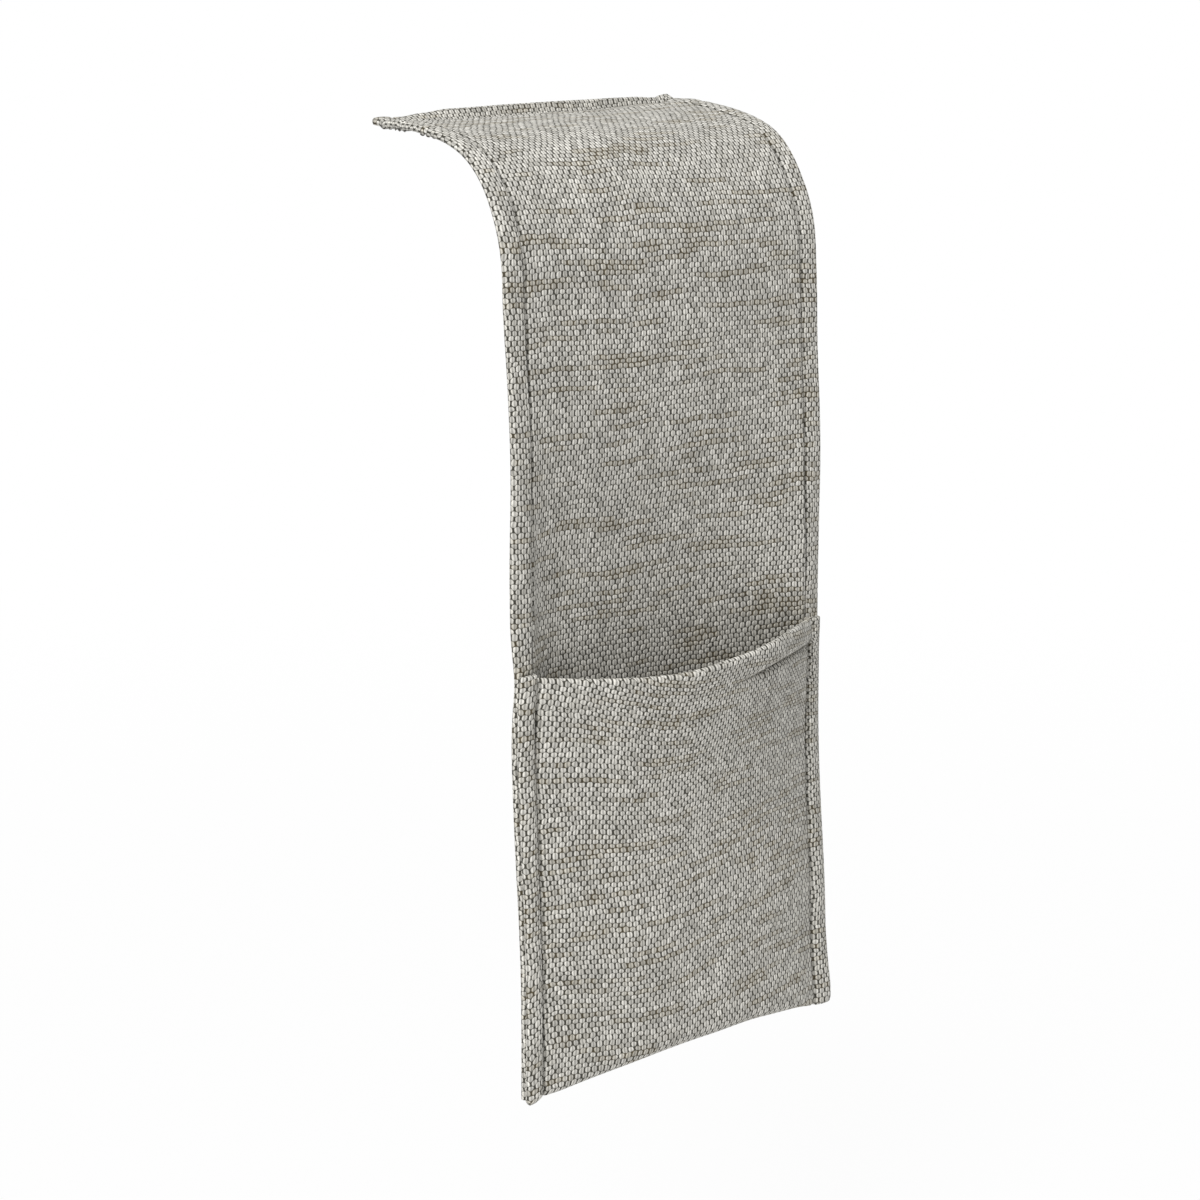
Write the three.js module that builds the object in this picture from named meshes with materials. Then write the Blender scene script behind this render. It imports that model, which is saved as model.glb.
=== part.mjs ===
// Bedside caddy: a narrow strip of coarse cloth whose flap is held under a mattress.
// The strip bends over the edge of the bed and hangs down its side, and its lower end is
// folded up to the front as a pocket that is sewn to it along both sides.
// Millimetres, +Z up. X runs across the strip, the front faces -Y and the flap runs back
// towards +Y. The origin is the middle of the flat underside of the flap.

import * as THREE from 'three';

// The cloth, and how its layers lie on each other.
const cloth = {
  ply: 1.1,
  layerGap: 0.3,
  sharpestTurnSteps: 6,
};

// The strip, followed from the bottom of the pocket to the free end of the flap.
const strip = {
  width: 148.5,
  hangLength: 262,
  bendLength: 80,
  flapFlatLength: 24,
  flapAngle: THREE.MathUtils.degToRad(82.5),
  traceSteps: 1600,
};

// The hanging part leans back a little twice: above its bottom, and just under the bend.
const lowerLean = { steepest: THREE.MathUtils.degToRad(4), length: 130 };
const upperLean = { steepest: THREE.MathUtils.degToRad(4.9), length: 80 };

// The turned side margins are sewn down this far inside the edges. The pocket's own margins
// are drawn in a little further than those of the strip behind them.
const sideSeam = { inset: 8.5, pocketDrawIn: 1.5 };

// The strip bows back behind the pocket and comes flat again above it.
const bow = { depth: 9.5, fullHeight: 150, endHeight: 252, crownPower: 3 };

// The pocket stands open at its mouth and keeps a rounded belly at its bottom.
const pocket = {
  height: 140.5,
  mouthDip: 4,
  mouthDepth: 16,
  bottomDepth: 8,
  bottomRaise: 6,
  raisePower: 2,
  crownPower: 2.4,
};

// Margins turned under at the two free ends of the strip. The one on the flap curls upwards.
const mouthHem = { depth: 10 };
const flapHem = {
  depth: 10,
  cornerInset: 1.4,
  curlAngle: THREE.MathUtils.degToRad(18),
  curlLength: 4,
};

// Sewing thread, drawn as one flat cord along each row of stitches.
const thread = { width: 0.8, height: 0.5, endInset: 2 };

// The strip folds low in its bend, where it leaves the edge of the bed. All its layers but
// the face ply stop short of the fold line.
const fold = { aboveHang: 27, clearance: 3.2, noseSteps: 5 };

// How finely the curved stretches are divided.
const count = {
  hangRows: 15,
  lowerBendRows: 4,
  upperBendRows: 9,
  flatRows: 2,
  curlRows: 4,
  crownColumns: 16,
  pocketRows: 11,
  hemRows: 3,
};

const halfPly = cloth.ply / 2;
const layerPitch = cloth.ply + cloth.layerGap;
const turnRadius = layerPitch / 2;
const turnReach = turnRadius + halfPly;
const halfWidth = strip.width / 2;
const seamPlace = halfWidth - sideSeam.inset;
const turnPlace = halfWidth - turnReach;
const pliesEdge = turnPlace - cloth.layerGap;
const pocketOffset = 2 * layerPitch;
const foldLine = strip.hangLength + fold.aboveHang;
const flatStart = strip.hangLength + strip.bendLength;
const stripEnd = flatStart + strip.flapFlatLength;
const curlStart = stripEnd - flapHem.depth;

function smoothRise(share) {
  const held = THREE.MathUtils.clamp(share, 0, 1);
  return held * held * (3 - 2 * held);
}

// A lean moves the strip back over its length, starting and ending upright.
function leanHeading(lean, start, along) {
  const share = THREE.MathUtils.clamp((along - start) / lean.length, 0, 1);
  return lean.steepest * Math.sin(Math.PI * share) ** 2;
}

// The strip's tilt from upright, in radians, at a length along it.
function headingAt(along) {
  const bent = strip.flapAngle * smoothRise((along - strip.hangLength) / strip.bendLength);
  const curled = flapHem.curlAngle * smoothRise((along - curlStart) / flapHem.curlLength);
  const upperStart = strip.hangLength - upperLean.length;
  return bent - curled + leanHeading(lowerLean, 0, along) + leanHeading(upperLean, upperStart, along);
}

// The side view of the strip's face ply: its middle line, traced once at even steps.
function traceStrip() {
  const step = stripEnd / strip.traceSteps;
  const points = [new THREE.Vector2(0, 0)];
  for (let index = 0; index < strip.traceSteps; index += 1) {
    const heading = headingAt((index + 0.5) * step);
    const advance = new THREE.Vector2(Math.sin(heading), Math.cos(heading)).multiplyScalar(step);
    points.push(points[index].clone().add(advance));
  }
  return points;
}

const trace = traceStrip();

// A point of the strip's own space: across it, along it, and out from its front face.
function stripPoint(across, along, out) {
  const position = (along / stripEnd) * strip.traceSteps;
  const index = THREE.MathUtils.clamp(Math.floor(position), 0, strip.traceSteps - 1);
  const side = trace[index].clone().lerp(trace[index + 1], position - index);
  const heading = headingAt(THREE.MathUtils.clamp(along, 0, stripEnd));
  return new THREE.Vector3(across, side.x - out * Math.cos(heading), side.y + out * Math.sin(heading));
}

// A crown is one in the middle of the strip and falls to nothing at the two side seams.
function crownAt(across, power) {
  const share = Math.min(Math.abs(across) / seamPlace, 1);
  return 1 - share ** power;
}

function bowAt(across, along) {
  const rise = smoothRise(along / bow.fullHeight);
  const fall = smoothRise((bow.endHeight - along) / (bow.endHeight - bow.fullHeight));
  return bow.depth * rise * fall * crownAt(across, bow.crownPower);
}

function pocketOutAt(across, along) {
  const share = THREE.MathUtils.clamp(along / pocket.height, 0, 1);
  const depth = THREE.MathUtils.lerp(pocket.bottomDepth, pocket.mouthDepth, share);
  return pocketOffset + depth * crownAt(across, pocket.crownPower);
}

// Half the distance between the two faces of the pocket, just above its rounded bottom.
function bellyRadius(across) {
  return (pocketOutAt(across, 0) + bowAt(across, 0)) / 2;
}

// Where the pocket's rounded bottom ends and its two upright faces begin.
function bellyTop(across) {
  return halfPly + pocket.bottomRaise * crownAt(across, pocket.raisePower) + bellyRadius(across);
}

function mouthTop(across) {
  return pocket.height - pocket.mouthDip * crownAt(across, pocket.crownPower);
}

function evenSteps(start, end, steps) {
  const places = [];
  for (let index = 0; index <= steps; index += 1) {
    places.push(THREE.MathUtils.lerp(start, end, index / steps));
  }
  return places;
}

// Places between the side seams, closer together towards the seams, where the crowns are steep.
function crownColumns(reach) {
  const turns = evenSteps(-Math.PI / 2, Math.PI / 2, count.crownColumns);
  return turns.map((turn) => reach * Math.sin(turn));
}

function allColumns(edge) {
  return [-edge, ...crownColumns(seamPlace), edge];
}

// A closed skin from two grids of points that face each other, with walls along their borders.
function thickSheet(front, back) {
  const rows = front.length;
  const columns = front[0].length;
  const points = [...front.flat(), ...back.flat()];
  const indexOf = (row, column) => row * columns + column;
  const behind = rows * columns;
  const faces = [];
  const addQuad = (a, b, c, d) => faces.push(a, b, c, a, c, d);
  for (let row = 0; row + 1 < rows; row += 1) {
    for (let column = 0; column + 1 < columns; column += 1) {
      const a = indexOf(row, column);
      const b = indexOf(row, column + 1);
      const c = indexOf(row + 1, column + 1);
      const d = indexOf(row + 1, column);
      addQuad(a, b, c, d);
      addQuad(behind + d, behind + c, behind + b, behind + a);
    }
  }
  const border = [];
  for (let column = 0; column + 1 < columns; column += 1) {
    border.push(indexOf(0, column));
  }
  for (let row = 0; row + 1 < rows; row += 1) {
    border.push(indexOf(row, columns - 1));
  }
  for (let column = columns - 1; column > 0; column -= 1) {
    border.push(indexOf(rows - 1, column));
  }
  for (let row = rows - 1; row > 0; row -= 1) {
    border.push(indexOf(row, 0));
  }
  border.forEach((from, place) => {
    const to = border[(place + 1) % border.length];
    addQuad(to, from, behind + from, behind + to);
  });
  return solidFrom(points, faces);
}

// Six times the volume inside the faces, below nothing when they face inwards.
function signedVolume(points, faces) {
  let total = 0;
  for (let index = 0; index < faces.length; index += 3) {
    const a = points[faces[index]];
    const b = points[faces[index + 1]];
    const c = points[faces[index + 2]];
    total += a.dot(b.clone().cross(c));
  }
  return total;
}

function solidFrom(points, faces) {
  const outward = signedVolume(points, faces) < 0 ? [...faces].reverse() : faces;
  const geometry = new THREE.BufferGeometry().setFromPoints(points);
  geometry.setIndex(outward);
  geometry.computeVertexNormals();
  return geometry;
}

// The two sides of a layer that follows a path of [x, y] places, with mitred corners.
function pathSides(path, halfThickness) {
  const left = [];
  const right = [];
  path.forEach((place, index) => {
    const before = path[Math.max(index - 1, 0)];
    const after = path[Math.min(index + 1, path.length - 1)];
    const arriving = place.clone().sub(before).normalize();
    const leaving = after.clone().sub(place).normalize();
    const run = arriving.clone().add(leaving).normalize();
    const normal = new THREE.Vector2(-run.y, run.x);
    const straight = arriving.lengthSq() > 0 ? arriving : leaving;
    const stretch = halfThickness / Math.abs(straight.dot(run));
    left.push(place.clone().addScaledVector(normal, stretch));
    right.push(place.clone().addScaledVector(normal, -stretch));
  });
  return { left, right };
}

// Half a turn of radius around a centre, from one angle to the opposite one.
function halfTurn(centre, radius, startAngle, turn) {
  return evenSteps(0, turn * Math.PI, cloth.sharpestTurnSteps).map((angle) => new THREE.Vector2(
    centre.x + radius * Math.cos(startAngle + angle),
    centre.y + radius * Math.sin(startAngle + angle),
  ));
}

// A layer whose section across the strip keeps its form along it, such as a turned side margin.
function layerAlong(sectionPath, rows) {
  const sides = pathSides(sectionPath, halfPly);
  const sweep = (side) => rows.map((along) => side.map((place) => stripPoint(place.x, along, place.y)));
  return thickSheet(sweep(sides.left), sweep(sides.right));
}

// A layer drawn by its section along the strip at each place across it.
function layerAcross(sectionPathAt, columns) {
  const left = [];
  const right = [];
  columns.forEach((across) => {
    const sides = pathSides(sectionPathAt(across), halfPly);
    left.push(sides.left.map((place) => stripPoint(across, place.x, place.y)));
    right.push(sides.right.map((place) => stripPoint(across, place.x, place.y)));
  });
  return thickSheet(left, right);
}

// Rows up the hanging part to a place below the fold line, at the same steps for each layer.
function hangingRows(start, end) {
  const steps = [
    ...evenSteps(bellyTop(halfWidth), strip.hangLength, count.hangRows),
    ...evenSteps(strip.hangLength, foldLine, count.lowerBendRows).slice(1),
  ];
  return [start, ...steps.filter((along) => along > start && along < end), end];
}

function flapRows(start, end) {
  const steps = [
    ...evenSteps(foldLine, flatStart, count.upperBendRows),
    ...evenSteps(flatStart, curlStart, count.flatRows).slice(1),
    ...evenSteps(curlStart, stripEnd, count.curlRows).slice(1),
  ];
  return [start, ...steps.filter((along) => along > start && along < end), end];
}

// The face ply of the hanging part. Its top is a half-round nose on the fold line.
function dropPanelShape() {
  const columns = allColumns(pliesEdge);
  const flangeBottom = bellyTop(halfWidth) + cloth.layerGap;
  const rows = hangingRows(flangeBottom, foldLine);
  const front = [];
  const back = [];
  const addRow = (alongAt, halfThickness) => {
    const row = (side) => columns.map((across) => {
      const along = alongAt(across);
      return stripPoint(across, along, side * halfThickness - bowAt(across, along));
    });
    front.push(row(1));
    back.push(row(-1));
  };
  rows.forEach((along) => {
    const share = (along - flangeBottom) / (foldLine - flangeBottom);
    const alongAt = (across) => {
      const bottom = bellyTop(across) + cloth.layerGap;
      return THREE.MathUtils.lerp(bottom, foldLine, share);
    };
    addRow(alongAt, halfPly);
  });
  const noseTurn = Math.PI / 2 / (fold.noseSteps + 1);
  for (let step = 1; step <= fold.noseSteps; step += 1) {
    const past = halfPly * Math.sin(step * noseTurn);
    addRow(() => foldLine + past, halfPly * Math.cos(step * noseTurn));
  }
  return thickSheet(front, back);
}

// The face ply of the flap starts just past the nose of the hanging part.
function flapPanelShape() {
  const rows = flapRows(foldLine + halfPly + cloth.layerGap, stripEnd - turnReach - cloth.layerGap);
  const columns = [-pliesEdge, -seamPlace, seamPlace, pliesEdge];
  const layer = (out) => rows.map((along) => columns.map((across) => stripPoint(across, along, out)));
  return thickSheet(layer(halfPly), layer(-halfPly));
}

// A side margin turned behind a ply whose middle is at the given place in front of the strip.
function sideHemPath(side, edge, out) {
  const turned = halfTurn(new THREE.Vector2(edge, out - turnRadius), turnRadius, Math.PI / 2, -1);
  const end = new THREE.Vector2(seamPlace + cloth.layerGap, out - layerPitch);
  return [...turned, end].map((place) => new THREE.Vector2(side * place.x, place.y));
}

function dropSideHemShape(side) {
  const rows = hangingRows(bellyTop(halfWidth) + cloth.layerGap, foldLine - fold.clearance);
  return layerAlong(sideHemPath(side, turnPlace, 0), rows);
}

function flapSideHemShape(side) {
  const rows = flapRows(foldLine + fold.clearance, curlStart - cloth.layerGap);
  return layerAlong(sideHemPath(side, turnPlace, 0), rows);
}

function pocketSideHemShape(side) {
  const rows = evenSteps(bellyTop(halfWidth) + cloth.layerGap, pocket.height, count.pocketRows);
  return layerAlong(sideHemPath(side, turnPlace - sideSeam.pocketDrawIn, pocketOffset), rows);
}

// The margin turned under at the free end of the flap.
function flapEndHemShape() {
  const start = stripEnd - turnReach;
  const turned = halfTurn(new THREE.Vector2(start, -turnRadius), turnRadius, Math.PI / 2, -1);
  const under = evenSteps(start, curlStart, count.curlRows).slice(1);
  const path = [...turned, ...under.map((along) => new THREE.Vector2(along, -layerPitch))];
  const reach = halfWidth - flapHem.cornerInset;
  return layerAcross(() => path, [-reach, -seamPlace, seamPlace, reach]);
}

// The pocket's front ply, which runs on round the bottom until it meets the hanging ply.
function pocketPanelShape() {
  const sectionAt = (across) => {
    const radius = bellyRadius(across);
    const middle = radius - bowAt(across, 0);
    const belly = halfTurn(new THREE.Vector2(bellyTop(across), middle), radius, -Math.PI / 2, -1);
    const isFlange = Math.abs(across) > seamPlace;
    const top = isFlange ? pocket.height : mouthTop(across) - turnReach - cloth.layerGap;
    const face = evenSteps(bellyTop(across), top, count.pocketRows).slice(1);
    return [...belly, ...face.map((along) => new THREE.Vector2(along, pocketOutAt(across, along)))];
  };
  return layerAcross(sectionAt, allColumns(pliesEdge - sideSeam.pocketDrawIn));
}

// The margin turned into the pocket along its mouth.
function mouthHemShape() {
  const sectionAt = (across) => {
    const start = mouthTop(across) - turnReach;
    const out = pocketOutAt(across, start);
    const turned = halfTurn(new THREE.Vector2(start, out - turnRadius), turnRadius, Math.PI / 2, -1);
    const down = evenSteps(start, start - mouthHem.depth, count.hemRows).slice(1);
    const insideAt = (along) => pocketOutAt(across, along) - layerPitch;
    return [...turned, ...down.map((along) => new THREE.Vector2(along, insideAt(along)))];
  };
  return layerAcross(sectionAt, crownColumns(seamPlace - cloth.layerGap));
}

// A side seam's thread lies just outside the seam line, on the face of the layer it holds.
function sideThreadShape(side, out, rows) {
  const base = out + halfPly + cloth.layerGap;
  const layer = (height) => rows.map((along) => [
    stripPoint(side * seamPlace, along, base + height),
    stripPoint(side * (seamPlace + thread.width), along, base + height),
  ]);
  return thickSheet(layer(thread.height), layer(0));
}

// A cross seam's thread follows the face of its layer from side seam to side seam.
function crossThreadShape(alongAt, outAt, columns) {
  const layer = (height) => columns.map((across) => [0, thread.width].map((step) => {
    const along = alongAt(across) + step;
    return stripPoint(across, along, outAt(across, along) + halfPly + cloth.layerGap + height);
  }));
  return thickSheet(layer(thread.height), layer(0));
}

function dropThreadShape(side) {
  const rows = hangingRows(pocket.height + thread.endInset, foldLine - fold.clearance);
  return sideThreadShape(side, 0, rows);
}

function flapThreadShape(side) {
  return sideThreadShape(side, 0, flapRows(foldLine + fold.clearance, curlStart));
}

function pocketThreadShape(side) {
  const rows = evenSteps(bellyTop(halfWidth) + thread.endInset, pocket.height, count.pocketRows);
  return sideThreadShape(side, pocketOffset, rows);
}

function flapEndThreadShape() {
  const reach = seamPlace - cloth.layerGap;
  return crossThreadShape(() => curlStart, () => 0, [-reach, reach]);
}

function mouthThreadShape() {
  const alongAt = (across) => mouthTop(across) - turnReach - mouthHem.depth;
  return crossThreadShape(alongAt, pocketOutAt, crownColumns(seamPlace - cloth.layerGap));
}

const clothFinish = { color: 0x9b9890, roughness: 0.95, metalness: 0 };
const hemFinish = { color: 0x8f8c83, roughness: 0.95, metalness: 0 };
const threadFinish = { color: 0x5d5a50, roughness: 0.8, metalness: 0 };

const caddy = new THREE.Group();

function addPiece(name, geometry, finish) {
  const mesh = new THREE.Mesh(geometry, new THREE.MeshStandardMaterial(finish));
  mesh.name = name;
  caddy.add(mesh);
}

addPiece('flap_panel', flapPanelShape(), clothFinish);
addPiece('drop_panel', dropPanelShape(), clothFinish);
addPiece('pocket_panel', pocketPanelShape(), clothFinish);
addPiece('flap_end_hem', flapEndHemShape(), hemFinish);
addPiece('pocket_mouth_hem', mouthHemShape(), hemFinish);
addPiece('flap_end_thread', flapEndThreadShape(), threadFinish);
addPiece('pocket_mouth_thread', mouthThreadShape(), threadFinish);

for (const [sideName, side] of [['left', -1], ['right', 1]]) {
  addPiece(`flap_${sideName}_hem`, flapSideHemShape(side), hemFinish);
  addPiece(`drop_${sideName}_hem`, dropSideHemShape(side), hemFinish);
  addPiece(`pocket_${sideName}_hem`, pocketSideHemShape(side), hemFinish);
  addPiece(`flap_${sideName}_thread`, flapThreadShape(side), threadFinish);
  addPiece(`drop_${sideName}_thread`, dropThreadShape(side), threadFinish);
  addPiece(`pocket_${sideName}_thread`, pocketThreadShape(side), threadFinish);
}

// The flap's underside is flat from the bend to its turned end, and its middle is the origin.
const undersideMiddle = (flatStart + curlStart) / 2;
caddy.position.copy(stripPoint(0, undersideMiddle, -halfPly)).negate();

export default caddy;
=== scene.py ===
"""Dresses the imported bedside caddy: woven cloth, turned hems, sewing thread, floor and light."""

from __future__ import annotations

import logging
import math

from collections.abc import Callable
from dataclasses import dataclass, field
from enum import Enum

import bpy
import numpy as np
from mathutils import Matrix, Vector


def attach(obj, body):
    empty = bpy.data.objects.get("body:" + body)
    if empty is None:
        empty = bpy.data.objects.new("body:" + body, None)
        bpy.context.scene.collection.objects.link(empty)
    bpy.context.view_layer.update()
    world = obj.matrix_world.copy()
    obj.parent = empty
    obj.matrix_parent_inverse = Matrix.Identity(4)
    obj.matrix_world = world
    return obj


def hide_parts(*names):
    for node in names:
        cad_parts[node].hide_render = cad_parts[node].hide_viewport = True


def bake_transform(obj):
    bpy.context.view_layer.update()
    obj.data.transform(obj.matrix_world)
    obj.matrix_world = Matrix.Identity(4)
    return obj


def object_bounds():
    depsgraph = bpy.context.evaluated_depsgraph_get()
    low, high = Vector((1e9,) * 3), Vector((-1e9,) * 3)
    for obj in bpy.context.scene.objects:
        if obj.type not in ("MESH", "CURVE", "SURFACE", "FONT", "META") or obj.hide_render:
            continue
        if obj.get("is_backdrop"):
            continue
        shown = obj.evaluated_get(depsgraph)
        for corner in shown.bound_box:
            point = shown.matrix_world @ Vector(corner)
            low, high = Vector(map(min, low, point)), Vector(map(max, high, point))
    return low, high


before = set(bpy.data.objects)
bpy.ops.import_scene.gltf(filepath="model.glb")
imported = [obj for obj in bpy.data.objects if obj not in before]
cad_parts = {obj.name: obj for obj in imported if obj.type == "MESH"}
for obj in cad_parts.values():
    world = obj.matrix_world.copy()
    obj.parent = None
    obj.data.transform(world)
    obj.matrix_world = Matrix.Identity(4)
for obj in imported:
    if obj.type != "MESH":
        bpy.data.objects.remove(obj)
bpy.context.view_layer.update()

logging.basicConfig(level=logging.INFO, format="%(message)s")
log = logging.getLogger("caddy")

MM = 0.001

Array = np.ndarray
Socket = bpy.types.NodeSocket
Colour = tuple[float, float, float]
Points = tuple[tuple[float, float], ...]
Surface = Callable[[Array, Array], Array]


class Side(Enum):
    """The two long edges of the strip, as seen from the front."""

    LEFT = -1
    RIGHT = 1


class Edge(Enum):
    """The four borders of a grid of cloth."""

    FIRST_ROW = 0
    LAST_COLUMN = 1
    LAST_ROW = 2
    FIRST_COLUMN = 3


def smooth_rise(share: Array) -> Array:
    """Rise gently from 0 to 1 while share goes from 0 to 1."""
    held = np.clip(share, 0.0, 1.0)
    return held * held * (3.0 - 2.0 * held)


def swell(place: Array, centre: float, spread: float) -> Array:
    """Give a soft bump of height 1 at the centre, nearly gone two spreads away."""
    return np.exp(-(((place - centre) / spread) ** 2))


def eased(points: Points, place: Array) -> Array:
    """Follow a few chosen points with gentle steps between them.

    Args:
        points: Pairs of a place and the value there, in rising order of place.
        place: The places to give values for.

    Returns:
        The value at each place.
    """
    value = np.full(np.shape(place), points[0][1], float)
    for (start, low), (end, high) in zip(points, points[1:]):
        value = value + (high - low) * smooth_rise((place - start) / (end - start))
    return value


def unit(vectors: Array) -> Array:
    """Bring vectors to a length of 1."""
    return vectors / np.linalg.norm(vectors, axis=-1, keepdims=True)


def blended(first: Array, second: Array, share: Array) -> Array:
    """Go from one set of values to another by a share."""
    return first * (1 - share) + second * share


def sampled(route: Array, run: Array, places: Array) -> Array:
    """Read a route at places along its run."""
    return np.stack([np.interp(places, run, column) for column in route.T], axis=-1)


def traced(points: Points, place: Array) -> Array:
    """Follow a few chosen points with one smooth curve.

    Args:
        points: Pairs of a place and the value there, in rising order of place.
        place: The places to give values for.

    Returns:
        The value at each place.
    """
    spots, values = np.array(points, float).T
    slopes = np.gradient(values, spots)
    left = np.clip(np.searchsorted(spots, place) - 1, 0, len(spots) - 2)
    width = spots[left + 1] - spots[left]
    share = np.clip((place - spots[left]) / width, 0.0, 1.0)
    rise = smooth_rise(share)
    lean = slopes[left] * (1 - share) - slopes[left + 1] * share
    return values[left] * (1 - rise) + values[left + 1] * rise + lean * width * share * (1 - share)


@dataclass(frozen=True)
class ClothForm:
    """The sizes of the cloth and of the strip cut from it, in millimetres and degrees."""

    ply: float = 1.1
    layer_gap: float = 0.3
    width: float = 148.5
    hang_length: float = 262.0
    bend_length: float = 80.0
    flap_flat_length: float = 24.0
    flap_angle: float = 82.5
    lower_lean: float = 4.0
    lower_lean_length: float = 130.0
    upper_lean: float = 4.9
    upper_lean_length: float = 80.0
    lip_angle: float = 62.0
    lip_bend: float = 2.6
    lip_length: float = 6.0
    lip_share: Points = (
        (-74, 0.0), (-62, 0.15), (-52, 0.45), (-40, 0.75), (-9, 0.9),
        (21, 1.0), (41, 1.0), (52, 0.9), (64, 0.65), (74, 0.3),
    )
    end_drop: Points = (
        (-74, 0.9), (-62, 1.3), (-52, 1.4), (-40, 1.5), (-9, 1.6),
        (21, 1.7), (41, 1.7), (52, 1.7), (64, 2.1), (74, 1.2),
    )
    drop_length: float = 12.0
    seam_slide: Points = (
        (0, -2.2), (60, -2.2), (105, -1.7), (128, -1.2), (142, 0.4), (165, 0.6), (190, 0),
    )
    slide_reach: float = 14.0
    skew_length: float = 40.0
    left_short: float = 9.0
    right_long: float = 3.5
    fold_rise: float = 27.0
    blend_reach: float = 20.0
    hem_depth: float = 10.0
    seam_inset: float = 8.5
    warp_pitch: float = 1.33
    weft_pitch: float = 1.67
    trace_step: float = 0.1

    @property
    def half_ply(self) -> float:
        """Half the thickness of one layer."""
        return self.ply / 2

    @property
    def layer_pitch(self) -> float:
        """The distance from the middle of one layer to the middle of the next."""
        return self.ply + self.layer_gap

    @property
    def turn_radius(self) -> float:
        """The radius of a turned edge, at the middle of its layer."""
        return self.layer_pitch / 2

    @property
    def turn_reach(self) -> float:
        """How far a turned edge reaches past the centre of its turn."""
        return self.turn_radius + self.half_ply

    @property
    def seam(self) -> float:
        """The side seam's distance from the middle of the strip."""
        return self.width / 2 - self.seam_inset

    @property
    def turn_place(self) -> float:
        """The distance of a side edge's turn from the middle of the strip."""
        return self.width / 2 - self.turn_reach

    @property
    def flat_start(self) -> float:
        """Where the flap's flat stretch starts, along the strip."""
        return self.hang_length + self.bend_length

    @property
    def end(self) -> float:
        """The whole length of the strip from the pocket's bottom."""
        return self.flat_start + self.flap_flat_length

    @property
    def fold(self) -> float:
        """Where the cloth folds between the hanging part and the flap."""
        return self.hang_length + self.fold_rise

    @property
    def hem_start(self) -> float:
        """Where the flap's end hem starts."""
        return self.end - self.hem_depth

    @property
    def lip_start(self) -> float:
        """Where the flap's end starts to turn up, at its row of stitches."""
        return self.end - self.lip_length


class Strip:
    """Turns places across, along and out from the strip into places of the part."""

    def __init__(self, form: ClothForm) -> None:
        """Trace the side view of the strip once.

        Args:
            form: The sizes of the cloth.
        """
        self.form = form
        steps = round((form.end + form.right_long) / form.trace_step)
        middles = (np.arange(steps) + 0.5) * form.trace_step
        self._along = np.arange(steps + 1) * form.trace_step
        self._plain = self._trace(self.heading(middles))
        curled = self._trace(self.heading(middles) - self.curl(middles))
        self._rise = curled - self._plain
        self._origin = np.zeros(3)
        middle = (form.flat_start + form.hem_start) / 2
        slip = self.skew(np.array(0.0), np.array(middle))
        self._origin = self.place(np.array(0.0), middle + slip, np.array(-form.half_ply))

    def _trace(self, heading: Array) -> Array:
        """Give how far back and up the strip has come at each step along it."""
        moves = np.stack([np.sin(heading), np.cos(heading)])
        return np.pad(np.cumsum(moves, axis=1), ((0, 0), (1, 0))) * self.form.trace_step

    def heading(self, along: Array) -> Array:
        """Give the strip's tilt from upright, in radians, at places along it, without its end's lip.

        Args:
            along: Distance from the bottom of the pocket.

        Returns:
            The tilt at each place.
        """
        form = self.form
        bent = form.flap_angle * smooth_rise((along - form.hang_length) / form.bend_length)
        low = np.clip(along / form.lower_lean_length, 0, 1)
        upper_start = form.hang_length - form.upper_lean_length
        high = np.clip((along - upper_start) / form.upper_lean_length, 0, 1)
        leans = form.lower_lean * np.sin(np.pi * low) ** 2 + form.upper_lean * np.sin(np.pi * high) ** 2
        return np.radians(bent + leans)

    def curl(self, along: Array) -> Array:
        """Give how far the flap's end is turned up into a lip, in radians."""
        form = self.form
        return np.radians(form.lip_angle) * smooth_rise((along - form.lip_start) / form.lip_bend)

    def skew(self, across: Array, along: Array) -> Array:
        """Give how much further back than its place the flap's cloth lies, as its end is cut askew.

        Args:
            across: Distance from the middle of the strip, to the right.
            along: Distance from the bottom of the pocket.

        Returns:
            How much further back, in millimetres.
        """
        form = self.form
        share = across / form.width + 0.5
        amount = form.left_short * (1 - share) - form.right_long * share
        return amount * smooth_rise((along - form.end) / form.skew_length + 1)

    def slide(self, across: Array, along: Array) -> Array:
        """Give how far the cloth is drawn to the right beside its side seams.

        Args:
            across: Distance from the middle of the strip, to the right.
            along: Distance from the bottom of the pocket.

        Returns:
            How far to the right, in millimetres.
        """
        form = self.form
        outside = np.clip((form.width / 2 - np.abs(across)) / form.seam_inset, 0, 1)
        inside = 1 - smooth_rise((form.seam - np.abs(across)) / form.slide_reach)
        return eased(form.seam_slide, along) * np.minimum(outside, inside)

    def place(self, across: Array, along: Array, out: Array) -> Array:
        """Find the places of the part for places of the strip.

        Args:
            across: Distance from the middle of the strip, to the right.
            along: Distance from the bottom of the pocket.
            out: Distance out from the strip's face ply.

        Returns:
            The places, in millimetres, in the part's own frame.
        """
        across, along, out = np.broadcast_arrays(across, along, out)
        moved = along - self.skew(across, along)
        lip = eased(self.form.lip_share, across)
        heading = self.heading(moved) - self.curl(along) * lip
        back, up = (
            np.interp(moved, self._along, plain) + np.interp(along, self._along, rise) * lip
            for plain, rise in zip(self._plain, self._rise)
        )
        drop = eased(self.form.end_drop, across)
        drop = drop * smooth_rise((along - self.form.lip_start) / self.form.drop_length + 1)
        right = across + self.slide(across, along)
        places = [right, back - out * np.cos(heading), up - drop + out * np.sin(heading)]
        return np.stack(places, axis=-1) - self._origin


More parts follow.
